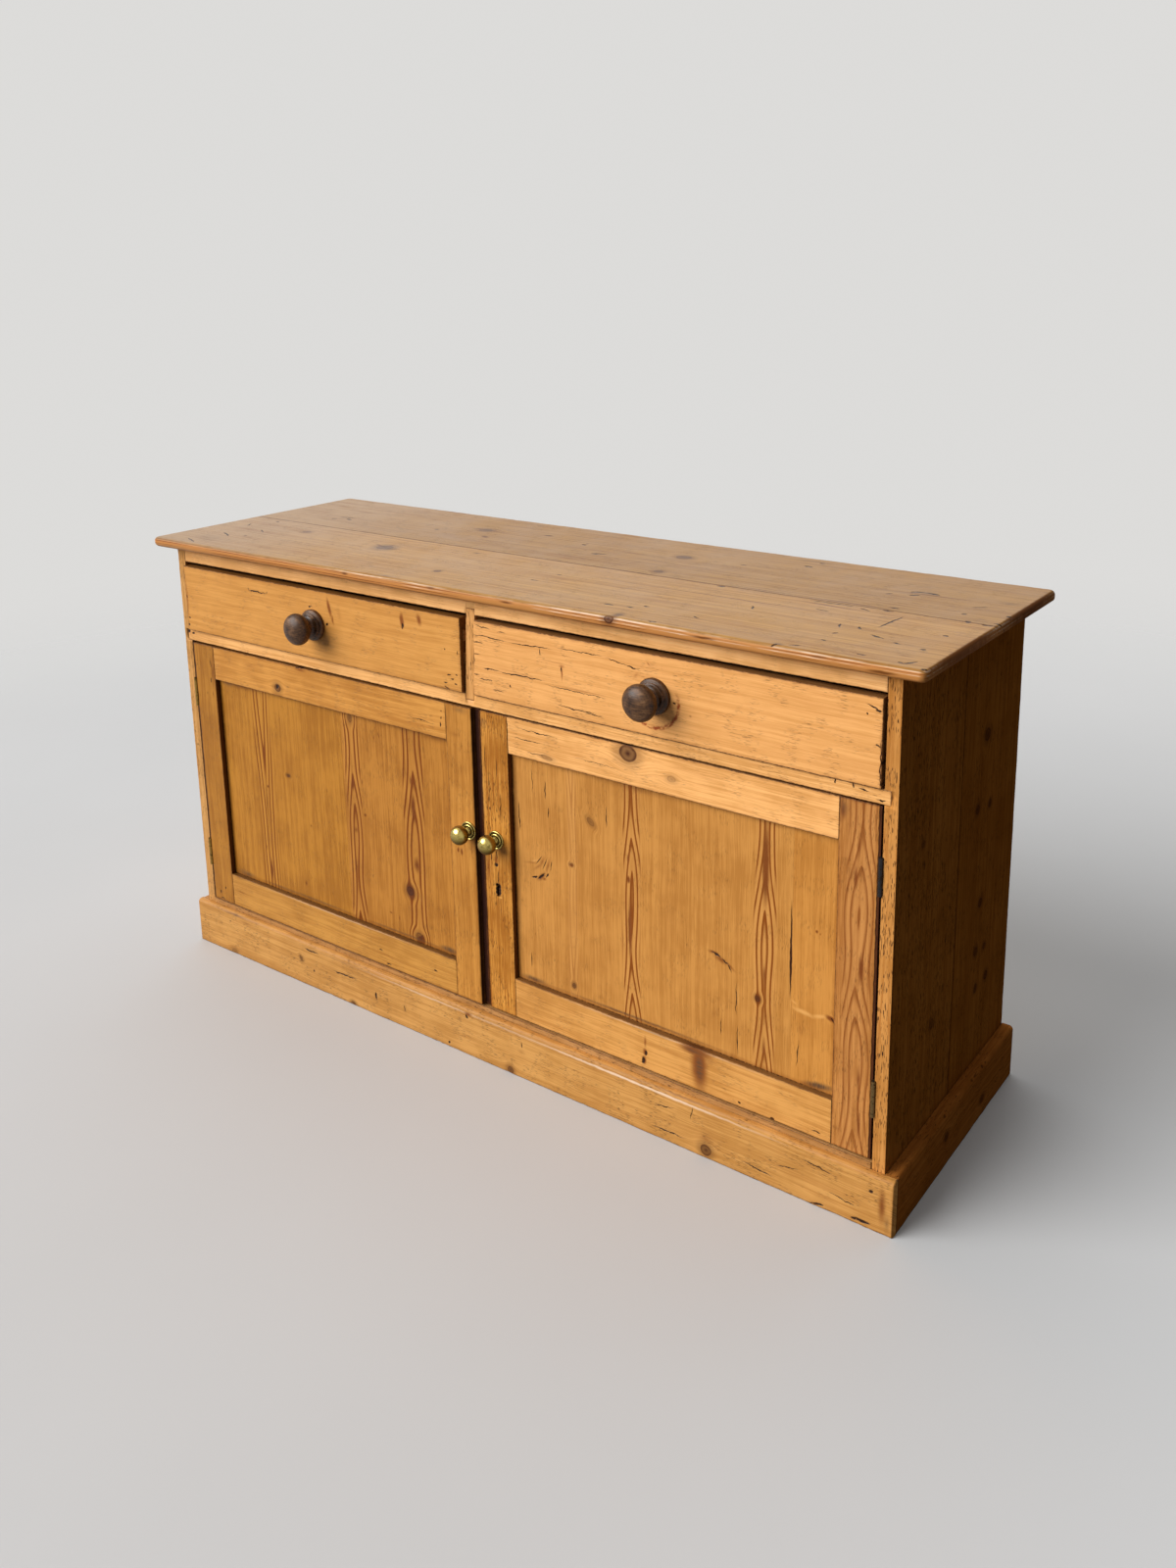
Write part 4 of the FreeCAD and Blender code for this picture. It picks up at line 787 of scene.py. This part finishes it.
BOARDS = {
    "top_front_board": TOP_FRONT,
    "top_back_board": TOP_BACK,
    "top_rail": dict(
        grain="a", colour=srgb(255, 192, 121), lines=0.2, specks=0.05, grime_and_shade=0.35, grime_and_shade_reach=4),
    "drawer_rail": dict(
        grain="a", colour=srgb(248, 183, 110), lines=0.3, specks=0.12, spacing=7, grime_and_shade_reach=3,
        cracks=((656, 664, 1.5, 5, 0.8, 10), (684, 664, 1.5, 5, 0.8, 10),
                (700, 660, 10, 1.2, 0.8, -8), (725, 651, 8, 1.2, 0.8), (-735, 663, 4, 5, 0.9),
                (-722, 661, 5, 2, 0.8))),
    "drawer_divider": dict(
        grain="b", colour=srgb(224, 161, 93), lines=0.35, specks=0.55, spacing=5, grime_and_shade=0.5,
        grime_and_shade_reach=3),
    "left_side_front_board": dict(
        SIDE, colour=srgb(196, 138, 76), specks=0.4, edge_tint=(1.2, 1.3, 1.4, 1.0), shine=0.1,
        knots=((60, 610, 8, 9, 0.8), (120, 340, 10, 12, 0.8), (40, 190, 7, 7, 0.8))),
    "left_side_back_board": dict(
        SIDE, colour=srgb(190, 132, 72), specks=0.3, shine=0.06,
        knots=((330, 690, 9, 10, 0.8), (380, 430, 12, 14, 0.8), (300, 240, 7, 7, 0.8))),
    # The right side's boards and plinth are coloured darker and browner than the left's: painted
    # shade, as that side faces away from the lamps
    "right_side_front_board": dict(
        SIDE, colour=srgb(158, 98, 38), specks=0.65, edge_tint=(1.85, 2.25, 3.5, 1.0), shine=0.0,
        knots=((90, 560, 6, 6, 0.7), (150, 250, 8, 9, 0.7))),
    "right_side_back_board": dict(
        SIDE, colour=srgb(154, 94, 34), specks=0.3, shine=0.0,
        knots=((325, 650, 12, 11, 0.9), (298, 537, 8, 8, 0.9), (350, 530, 7, 7, 0.9),
               (330, 370, 8, 8, 0.9), (320, 290, 8, 8, 0.8), (358, 283, 6, 6, 0.8),
               (327, 222, 7, 8, 0.9), (372, 225, 8, 8, 0.9))),
    "plinth_front": dict(
        grain="a", colour=srgb(211, 152, 81), lines=0.3, spacing=8, specks=0.3, grime_and_shade=0.35,
        grime_and_shade_reach=6, wear=0.55, ease=0.7,
        knots=((458, 14, 10, 10, 0.9), (64, 6, 7, 7, 0.9), (-664, 3, 9, 7, 0.6),
               (-321, 2, 7, 5, 0.9), (-461, 52, 4, 6, 0.8, 30)),
        cracks=((-33, 74, 5, 3, 1, -60), (-258, 39, 3, 9, 0.7, 5), (-340, 55, 40, 1.6, 0.6, 2),
                (-430, 76, 24, 2, 0.7), (91, 63, 1.2, 7, 0.8), (-186, 38, 1, 8, 0.8),
                (-78, 8, 3, 3, 0.9), (-426, 36, 3, 3, 0.7), (735, 62, 4, 4, 0.6),
                (432, 68, 1, 14, 0.5, -12), (380, 60, 24, 1.2, 0.5, 10),
                (650, 66, 30, 1.2, 0.6, -6), (600, 44, 24, 1.2, 0.5, 12),
                (690, 30, 26, 1.2, 0.6, -8), (720, 8, 18, 3, 0.8), (390, 18, 40, 1.4, 0.5),
                (550, 20, 36, 1.3, 0.5, -6), (650, 4, 14, 2.5, 0.7, 10)),
        browns_and_shade=((752, 45, 9, 42, 0.7), (-620, 78, 30, 4, 0.4), (458, 34, 22, 14, 0.35),
                (-30, 80, 14, 6, 0.7), (90, 50, 14, 8, 0.3), (300, 84, 200, 3, 0.3)),
        # Dark along the top edge: dust, and painted shade at the crease under the carcass
        dust_and_shade=((-650, 86, 90, 4, 0.6), (760, 20, 8, 24, 0.6), (400, 88, 300, 2.5, 0.5)),
        # Painted highlights along the rounded top edge
        painted_highlights=((60, 81, 700, 4.5, 0.35), (330, 81, 330, 3.5, 0.85), (-120, 81, 260, 3, 0.5))),
    "left_plinth": dict(
        SIDE_PLINTH, colour=srgb(196, 138, 76), shine=0.06,
        knots=((120, 40, 8, 8, 0.8), (350, 55, 7, 6, 0.8))),
    # Darker than the left plinth: painted shade on the right side
    "right_plinth": dict(
        SIDE_PLINTH, colour=srgb(164, 100, 42), shine=0.0,
        knots=((180, 50, 8, 8, 0.8), (330, 30, 9, 7, 0.8))),
    "bottom_boards": dict(
        grain="a", colour=srgb(190, 138, 82), lines=0.3, specks=0.4, grime_and_shade=0.5, grime_and_shade_reach=4),
    "left_drawer_front": dict(
        DRAWER, colour=srgb(223, 157, 80), spacing=11, specks=0.05, mottle=0.8, grime_and_shade=0.28,
        grime_and_shade_reach=7,
        browns_and_shade=((-325, 768, 6, 26, 0.9, 12), (-318, 748, 4, 14, 0.7, 10), (-148, 772, 7, 18, 1, 4),
                (-108, 779, 8, 15, 0.8, 14), (-300, 760, 10, 26, 0.25, 14),
                (-610, 788, 12, 10, 0.2), (-440, 774, 60, 1.6, 0.35, -1),
                (-620, 776, 80, 2, 0.3, -1), (-724, 730, 4, 60, 0.5)),
        cracks=((-147, 762, 2.5, 6, 0.9), (-376, 763, 3, 2.2), (-333, 737, 3.4, 2.2),
                (-515, 772, 26, 1.3, 0.9), (-539, 774, 4, 0.9, 0.8, -60),
                (-489, 774, 4, 0.9, 0.8, 60), (-724, 735, 1.4, 3, 0.9), (-724, 679, 2, 3, 0.9),
                (-722, 692, 4, 1.5, 0.8), (-209, 669, 4, 1.4, 0.9), (-52, 737, 1.4, 2, 0.8),
                (-45, 694, 5, 1.2, 0.7), (-38, 688, 4, 1.2, 0.7), (-54, 679, 5, 1.2, 0.8),
                (-30, 681, 4, 1.2, 0.7, -10), (-50, 671, 8, 1.4, 0.9, -20), (-28, 697, 3, 1.2, 0.7),
                (-24, 735, 1, 5, 0.5)),
        dust_and_shade=((-372, 765, 5, 3, 0.8),)),
    "right_drawer_front": dict(
        DRAWER, colour=srgb(246, 178, 105), specks=0.12, mottle=0.7, grime_and_shade=0.35,
        grime_and_shade_reach=6,
        browns_and_shade=((190, 737, 3, 18, 0.7), (190, 748, 9, 5, 0.5), (230, 715, 90, 3, 0.4),
                (180, 752, 60, 2, 0.4, -1), (330, 758, 5, 14, 0.35, -40),
                (352, 779, 7, 2, 0.5, -35), (90, 722, 60, 3, 0.3), (425, 712, 4, 3, 0.5),
                (100, 775, 70, 4, 0.3), (330, 700, 40, 8, 0.1)),
        stains=((361, 726, 44, 5, 1.0),),
        cracks=((45, 771, 42, 0.98, 0.7, -2), (128, 771, 52, 0.9, 0.7, 2),
                (225, 777, 54, 0.75, 0.6, 1), (295, 773, 26, 0.75, 0.6, -9),
                (322, 768, 12, 1.2, 0.8, -8), (46, 718, 20, 1.12, 0.7, 2),
                (108, 718, 54, 1.12, 0.8, 1), (215, 712, 74, 0.68, 0.6, -1),
                (85, 697, 1.4, 3.5, 0.7, 20), (34, 699, 18, 0.9, 0.6),
                (218, 683, 46, 0.98, 0.7, -1), (250, 680, 20, 0.9, 0.6, -3),
                (147, 764, 0.9, 7, 0.7), (189, 742, 1.6, 6, 0.6), (398, 727, 3, 2.2, 0.8),
                (711, 780, 12, 1.12, 0.8, -20), (719, 776, 6, 2.4, 0.7), (703, 770, 1.8, 1.8, 0.8),
                (720, 728, 5, 2, 0.8, -20), (20, 760, 14, 0.9, 0.6), (30, 787, 22, 1.05, 0.5, -4),
                (70, 783, 12, 0.9, 0.4), (60, 686, 14, 0.9, 0.5), (724, 700, 1.4, 50, 0.5),
                (15, 705, 8, 1.2, 0.6), (10, 735, 1.4, 40, 0.3), (16, 740, 12, 0.75, 0.4))),
    "left_door_hinge_stile": dict(
        STILE, colour=srgb(183, 122, 46), spacing=8, grime_and_shade=0.42, grime_and_shade_reach=6,
        # Painted shade in the gap between the stile and the side
        seams_and_gap_shade=((-725.2, 372, 3.2, 900, 0.9),),
        browns_and_shade=((-672, 590, 10, 50, 0.5), (-676, 545, 3, 10, 0.5), (-715, 620, 4, 60, 0.3)),
        cracks=((-676, 606, 1, 10, 0.7), (-680, 572, 1.5, 6, 0.7), (-705, 120, 2, 4, 0.8),
                (-690, 131, 2, 3, 0.7), (-700, 106, 10, 1.6, 0.6))),
    "left_door_meeting_stile": dict(
        STILE, colour=srgb(200, 135, 58), contrast=0.6,
        # Painted shadow over the tongue in the gap between the doors
        seams_and_gap_shade=((4, 372, 13, 1500, 0.9),),
        browns_and_shade=((-40, 590, 22, 8, 0.3), (-38, 379, 3.5, 9), (-46, 381, 3, 6),
                (-14, 392, 6, 30, 0.35)),
        dust_and_shade=((-30, 635, 30, 10, 0.5),)),
    "left_door_top_rail": dict(
        RAIL, colour=srgb(217, 150, 71), lines=0.22, grime_and_shade_reach=6,
        knots=((-484, 592, 9, 8, 0.9),),
        browns_and_shade=((-560, 622, 30, 8, 0.3), (-418, 637, 22, 5, 0.6), (-480, 620, 50, 10, 0.2)),
        cracks=((-484, 594, 6, 4, 0.8, 20), (-72, 625, 1.4, 2, 0.8), (-74, 601, 1.6, 5, 0.8),
                (-72, 613, 1.2, 2, 0.8), (-120, 600, 40, 0.8, 0.4, -2), (-420, 641, 12, 1.8, 0.8))),
    "left_door_bottom_rail": dict(
        RAIL, colour=srgb(203, 142, 65), lines=0.26, grime_and_shade=0.36, grime_and_shade_reach=6,
        browns_and_shade=((-640, 136, 22, 2, 0.5), (-650, 121, 10, 1.5, 0.5), (-520, 120, 60, 8, 0.2)),
        cracks=((-250, 131, 5, 1.6, 0.8), (-113, 132, 5, 1.6, 0.8), (-230, 108, 8, 1.2, 0.6)),
        # Along the top edge that meets the panel: a painted highlight over dust, and dust with
        # painted shade
        painted_highlights=((-365, 166, 340, 2, 0.5),),
        dust_and_shade=((-640, 166, 30, 3, 0.5), (-90, 167, 30, 3, 0.5))),
    "left_door_outer_panel": dict(
        PANEL, colour=srgb(187, 124, 44), spacing=15, specks=0.04, contrast=0.55, box=LEFT_OPENING,
        strips=((-551, 26, 310, -3.2, 0.25, 1.1),),
        knots=((-483, 416, 5, 3, 0.9),),
        browns_and_shade=((-551, 345, 4, 60, 0.5), (-551, 205, 5, 34, 0.8), (-545, 380, 5, 5, 0.7),
                (-428, 328, 4, 4, 0.5), (-453, 204, 5, 8, 0.6), (-410, 430, 30, 160, 0.16),
                (-600, 575, 60, 16, 0.5), (-563, 250, 3, 10, 0.5)),
        dust_and_shade=((-634, 175, 44, 11, 0.9), (-640, 575, 26, 16, 0.8), (-450, 175, 180, 5, 0.9),
               (-660, 380, 6, 220, 0.3))),
    "left_door_inner_panel": dict(
        PANEL, colour=srgb(187, 123, 49), lines=0.07, spacing=13, specks=0.06, contrast=0.55,
        box=LEFT_OPENING,
        strips=((-307, 21, 140, 2.5, 0.45, 1.6), (-155, 27, 160, 2.8, 0.5, 1.6)),
        knots=((-175, 265, 9, 9), (-305, 565, 6, 9, 0.7), (-158, 181, 9, 8, 0.8)),
        browns_and_shade=((-307, 443, 4, 26, 0.9), (-312, 280, 3, 26, 0.8), (-157, 430, 8, 34, 0.9),
                (-155, 320, 10, 22, 0.7), (-306, 350, 9, 9, 0.5), (-160, 478, 4, 14, 0.6),
                (-246, 540, 2, 9, 0.6, 8), (-234, 547, 2, 9, 0.6, 12), (-279, 385, 5, 5, 0.7),
                (-283, 447, 3, 12, 0.5), (-227, 208, 6, 3, 0.6), (-206, 203, 3, 8, 0.5),
                (-96, 570, 40, 14, 0.4)),
        pales_and_highlights=((-150, 255, 8, 20, 0.3),),
        dust_and_shade=((-86, 177, 30, 9), (-70, 576, 18, 10, 0.8), (-200, 175, 140, 4, 0.8))),
    "right_door_hinge_stile": dict(
        STILE, colour=srgb(194, 129, 64), lines=0.35, specks=0.16, contrast=0.7,
        strips=((697, 24, 120, 2.7, 0.5, 0.75),),
        # Painted shade in the gap between the stile and the side
        seams_and_gap_shade=((724.8, 372, 4, 900),),
        browns_and_shade=((690, 530, 4, 26, 0.7), (702, 394, 6, 30, 0.9), (703, 222, 4, 34, 0.6),
                (706, 150, 4, 30, 0.7), (668, 622, 9, 24, 0.6), (694, 575, 4, 30, 0.5)),
        dust_and_shade=((670, 628, 14, 22, 0.5),)),
    "right_door_meeting_stile": dict(
        STILE, colour=srgb(212, 144, 60), lines=0.8, spacing=3.4, specks=0.45, contrast=1.0,
        grime_and_shade=0.45,
        cracks=((36, 374, 4.5, 3.6), (39, 336, 7, 7), (39, 330, 7, 7), (39, 324, 6.5, 6.5),
                (26, 390, 1, 12, 0.9), (38, 392, 1, 10, 0.9), (40, 352, 0.9, 14, 0.8),
                (20, 560, 0.8, 30, 0.6), (44, 545, 0.7, 26, 0.6), (26, 505, 0.7, 34, 0.6),
                (50, 480, 0.7, 30, 0.6)),
        browns_and_shade=((36, 383, 9, 14, 0.6), (18, 366, 6, 40, 0.6), (40, 290, 16, 60, 0.25)),
        # Painted highlights: a glint below the keyhole, and a line along the worn left edge
        pales_and_highlights=((43, 316, 5, 3), (13, 500, 2.5, 140, 0.8)),
        dust_and_shade=((18, 622, 14, 16, 0.5),)),
    "right_door_top_rail": dict(
        RAIL, colour=srgb(251, 184, 110), spacing=7, specks=0.06, grime_and_shade=0.26, grime_and_shade_reach=5,
        knots=((309, 629, 17, 14, 0.97), (151, 588, 12, 4, 0.6, -6), (388, 605, 8, 5, 0.5)),
        cracks=((132, 626, 50, 0.68, 0.7, -1), (112, 609, 34, 0.68, 0.7, 1), (70, 615, 1, 24, 0.7),
                (130, 590, 26, 0.68, 0.6, 4), (250, 600, 60, 0.6, 0.4))),
    "right_door_bottom_rail": dict(
        RAIL, colour=srgb(221, 157, 82), specks=0.1, grime_and_shade=0.34, grime_and_shade_reach=5,
        browns_and_shade=((437, 146, 21, 60, 1, 2), (438, 132, 12, 26), (430, 168, 44, 13, 0.9),
                (336, 132, 6, 9), (334, 117, 6, 10), (336, 150, 4, 16, 0.6),
                (450, 160, 30, 12, 0.3)),
        cracks=((338, 131, 3, 5), (333, 117, 4, 6), (567, 105, 4, 3), (509, 109, 3, 2),
                (640, 112, 10, 1.2, 0.5)),
        # Along the top edge that meets the panel: a painted highlight over dust, and dust with
        # painted shade
        painted_highlights=((366, 171, 320, 2, 0.5),),
        dust_and_shade=((350, 171, 60, 3, 0.5), (438, 140, 11, 36, 1, 2), (430, 167, 36, 9, 0.7))),
    "right_door_inner_panel": dict(
        PANEL, colour=srgb(204, 140, 67), spacing=17, contrast=0.45, box=RIGHT_OPENING,
        strips=((307, 18, 140, 2.3, 0.5, 1.3), (545, 20, 150, 2.6, 0.5, 1.3),
                (190, 11, 210, -1.8, 0.35, 0.45)),
        knots=((189, 411, 4, 3, 0.8), (533, 288, 5, 5, 0.9), (189, 196, 4, 5, 0.9),
               (229, 495, 9, 5, 0.6, -40)),
        browns_and_shade=((545, 505, 8, 92), (541, 500, 3, 90, 0.7), (303, 330, 5, 70), (301, 416, 5, 9),
                (301, 452, 4, 12, 0.7), (128, 400, 22, 6, 0.45, 60), (140, 396, 24, 5, 0.5, 72),
                (120, 390, 24, 5, 0.4, 40), (126, 373, 18, 7, 0.7, 42), (132, 371, 7, 5, 0.6, 20),
                (105, 393, 28, 4, 0.35, 10), (470, 332, 20, 8, 0.6, -20), (456, 340, 14, 5, 0.6),
                (487, 325, 16, 4, 0.5, -35), (189, 410, 4, 4), (417, 577, 9, 4, 0.5),
                (545, 330, 5, 24, 0.6), (545, 210, 5, 24, 0.6), (320, 570, 100, 10, 0.3),
                (460, 240, 24, 8, 0.25, 60), (380, 380, 30, 90, 0.15)),
        cracks=((126, 374, 13, 2.6, 0.6, 42), (139, 379, 7, 2, 0.6, 60), (112, 369, 8, 2, 0.6, 15),
                (134, 398, 16, 1.2, 0.5, 66), (122, 402, 16, 1.0, 0.4, 52),
                (147, 398, 14, 1.0, 0.4, 78), (462, 338, 12, 1.8, 0.6, -15),
                (478, 331, 9, 1.6, 0.5, -35), (486, 322, 9, 1.2, 0.5, -50), (260, 510, 0.8, 20),
                (138, 527, 0.8, 18, 0.9), (144, 490, 0.8, 12, 0.8, -4), (497, 276, 0.8, 32, 0.7),
                (83, 470, 1.2, 30, 0.8, 2), (471, 220, 0.8, 16, 0.7), (500, 205, 0.8, 30, 0.6, 2),
                (112, 540, 0.7, 30, 0.5), (100, 215, 0.8, 16, 0.6)),
        seams_and_gap_shade=((588, 382, 1.5, 90), (588, 366, 2.2, 44)),
        pales_and_highlights=((500, 280, 1.2, 30, 0.7), (592, 400, 1.5, 60, 0.6), (112, 398, 14, 3, 0.6, 25)),
        dust_and_shade=((104, 180, 40, 8, 0.9), (78, 400, 5, 220, 0.5), (300, 180, 240, 4, 0.8),
               (100, 580, 36, 8, 0.9))),
    "right_door_outer_panel": dict(
        PANEL, colour=srgb(207, 140, 64), spacing=16, contrast=0.45, box=RIGHT_OPENING,
        browns_and_shade=((654, 296, 12, 6, 1, -20), (628, 425, 3, 4, 0.8), (634, 423, 2, 3, 0.6),
                (605, 262, 8, 14, 0.3, 20)),
        cracks=((657, 294, 6, 1.5, 0.9, -30), (602, 222, 0.8, 28, 0.6, -6)),
        # Painted highlights on the lit rim of a dent
        pales_and_highlights=((610, 292, 27, 5.5, 1, -8), (636, 294, 18, 5, 1, 18), (594, 303, 10, 3, 0.7, -30)),
        dust_and_shade=((636, 181, 38, 9, 1, 8), (640, 582, 24, 6, 0.8))),
}

BACK_WIDTH = 1478
BACK_MIDDLE = 455
BACK_COUNT = 6
SEAM_REACH = (3, 3000)
BACK_SEAMS = [(BACK_WIDTH * (board / BACK_COUNT - 0.5), BACK_MIDDLE, *SEAM_REACH)
              for board in range(1, BACK_COUNT)]

INSIDE_COLOUR = srgb(205, 165, 112)
INSIDE_SEED = 40
# Pieces inside, each with the face that its grain is laid out on
INSIDE = {
    "back_boards": "front",
    "drawer_guide": "side",
    "drawer_kickers": "side",
    "drawer_runners": "side",
    "drawer_stops": "front",
    "shelf": "top",
    "shelf_bearers": "side",
}
for hand in ("left", "right"):
    INSIDE |= {
        hand + "_drawer_back": "front",
        hand + "_drawer_bottom": "top",
        hand + "_drawer_inner_side": "side",
        hand + "_drawer_outer_side": "side",
    }


def face_box(name, face):
    """The span of a node across a face, in the tables' millimetres."""
    low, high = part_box(name)
    spans = {axis: (getattr(low, axis) / MM, getattr(high, axis) / MM) for axis in "xyz"}
    spans["y"] = tuple(value - FRONT_Y for value in spans["y"])
    return [spans[axis] for axis in FACES[face][:2]]


def dress_boards():
    for number, (name, board) in enumerate(BOARDS.items(), start=1):
        looks = {"face": "front", "seed": number} | board
        looks.setdefault("box", face_box(name, looks["face"]))
        shape = {key: looks.pop(key) for key in ("ease", "wear") if key in looks}
        axis = FACES[looks["face"]]["ab".index(looks["grain"])]
        worn(name, axis, pine(name, **looks), **shape)
    for number, (name, face) in enumerate(INSIDE.items()):
        is_back = name == "back_boards"
        nodes[name].material_slots[0].material = pine(
            name, face, "b" if is_back else "a", INSIDE_COLOUR, face_box(name, face),
            seed=INSIDE_SEED + number, lines=0.35, spacing=8, contrast=0.6, specks=0.1, grime_and_shade=0.4,
            grime_and_shade_reach=12, roughness=0.7, seams_and_gap_shade=BACK_SEAMS if is_back else ())


# Pulls and knobs: profiles of (radius, distance out of the face), then a ball's front, radius
# and squareness

PULL = [(0.0, 0.0), (28.3, 0.0), (28.5, 1.2), (28.5, 3.4), (28.0, 5.2), (26.6, 6.6), (24.6, 7.3),
        (23.0, 7.5), (22.6, 7.9), (22.9, 8.6), (22.9, 9.8), (22.2, 10.8), (20.6, 11.4),
        (18.4, 11.7), (16.6, 12.4), (15.0, 13.6), (13.8, 15.2), (13.1, 17.2), (12.9, 19.4),
        (13.4, 21.6)]
PULL_BALL = (54.0, 28.5, 2.25)
PLATE = [(0.0, 0.0), (16.2, 0.0), (16.2, 1.0), (15.7, 1.9), (14.9, 2.2), (14.1, 2.0), (13.5, 1.4),
         (13.0, 0.7), (11.9, 0.7), (11.4, 1.6), (10.9, 2.6), (10.1, 3.0), (9.3, 2.7), (8.9, 1.8),
         (7.4, 1.8), (7.0, 3.4), (6.6, 4.0), (0.0, 4.0)]
KNOB = [(0.0, 3.9), (6.4, 3.9), (6.6, 4.6), (6.4, 5.4), (5.6, 6.2), (5.0, 7.4), (4.9, 8.6),
        (5.3, 9.8), (6.0, 10.8)]
KNOB_BALL = (36.0, 16.4, 2.3)


def make_pulls():
    for hand in ("left", "right"):
        low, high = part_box(hand + "_drawer_pull")
        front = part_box(hand + "_drawer_front")[0].y
        centre = Vector(((low.x + high.x) / 2, front, (low.z + high.z) / 2)) / MM
        profile = PULL + swollen(PULL[-1], *PULL_BALL)
        lathe(hand + "_turned_pull", profile, centre, turned_wood(hand + "_dark_wood"),
              hand + "_drawer_pull")


def make_knobs():
    for hand in ("left", "right"):
        low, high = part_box(hand + "_door_knob_plate")
        centre = Vector(((low.x + high.x) / 2, high.y, (low.z + high.z) / 2)) / MM
        # The dull colour is also the painted dark reflection
        shiny = old_metal(hand + "_bright_brass", srgb(206, 182, 104), srgb(84, 66, 22), 0.14, 0.8,
                      axes=((centre.x, centre.z),))
        lathe(hand + "_brass_plate", PLATE, centre, shiny, hand + "_door_knob_plate")
        profile = KNOB + swollen(KNOB[-1], *KNOB_BALL)
        lathe(hand + "_brass_knob", profile, centre, shiny, hand + "_door_knob")


def dress_metal():
    # Dark tarnish and dirt, also the painted dark reflection on the hinges' lower and side faces
    dirt_and_dark_reflection = srgb(50, 38, 26)
    black = srgb(58, 58, 62)
    hinge = old_metal("aged_brass_leaf", srgb(186, 146, 72), dirt_and_dark_reflection, 0.28, 1.3)
    odd_hinge = old_metal("odd_hinge_leaf", srgb(140, 114, 72), dirt_and_dark_reflection, 0.34, 1.2, upper=black)
    dark = old_metal("dark_steel_leaf", srgb(98, 92, 88), srgb(40, 34, 30), 0.36, 0.8)
    lock = old_metal("lock_steel_plate", srgb(126, 120, 112), srgb(70, 56, 44), 0.34, 0.8)
    metals = {"aged_brass": hinge, "dark_steel": dark, "lock_steel": lock}
    for name, node in nodes.items():
        if slots[name] in metals and not node.hide_render:
            node.material_slots[0].material = metals[slots[name]]
    # The right door's upper hinge is a dark one
    for name in ("right_frame_hinge_leaves", "right_door_hinge_leaves"):
        nodes[name].material_slots[0].material = odd_hinge


bpy.context.scene.view_settings.view_transform = "Standard"
make_camera()
make_studio()
dress_boards()
make_pulls()
make_knobs()
dress_metal()
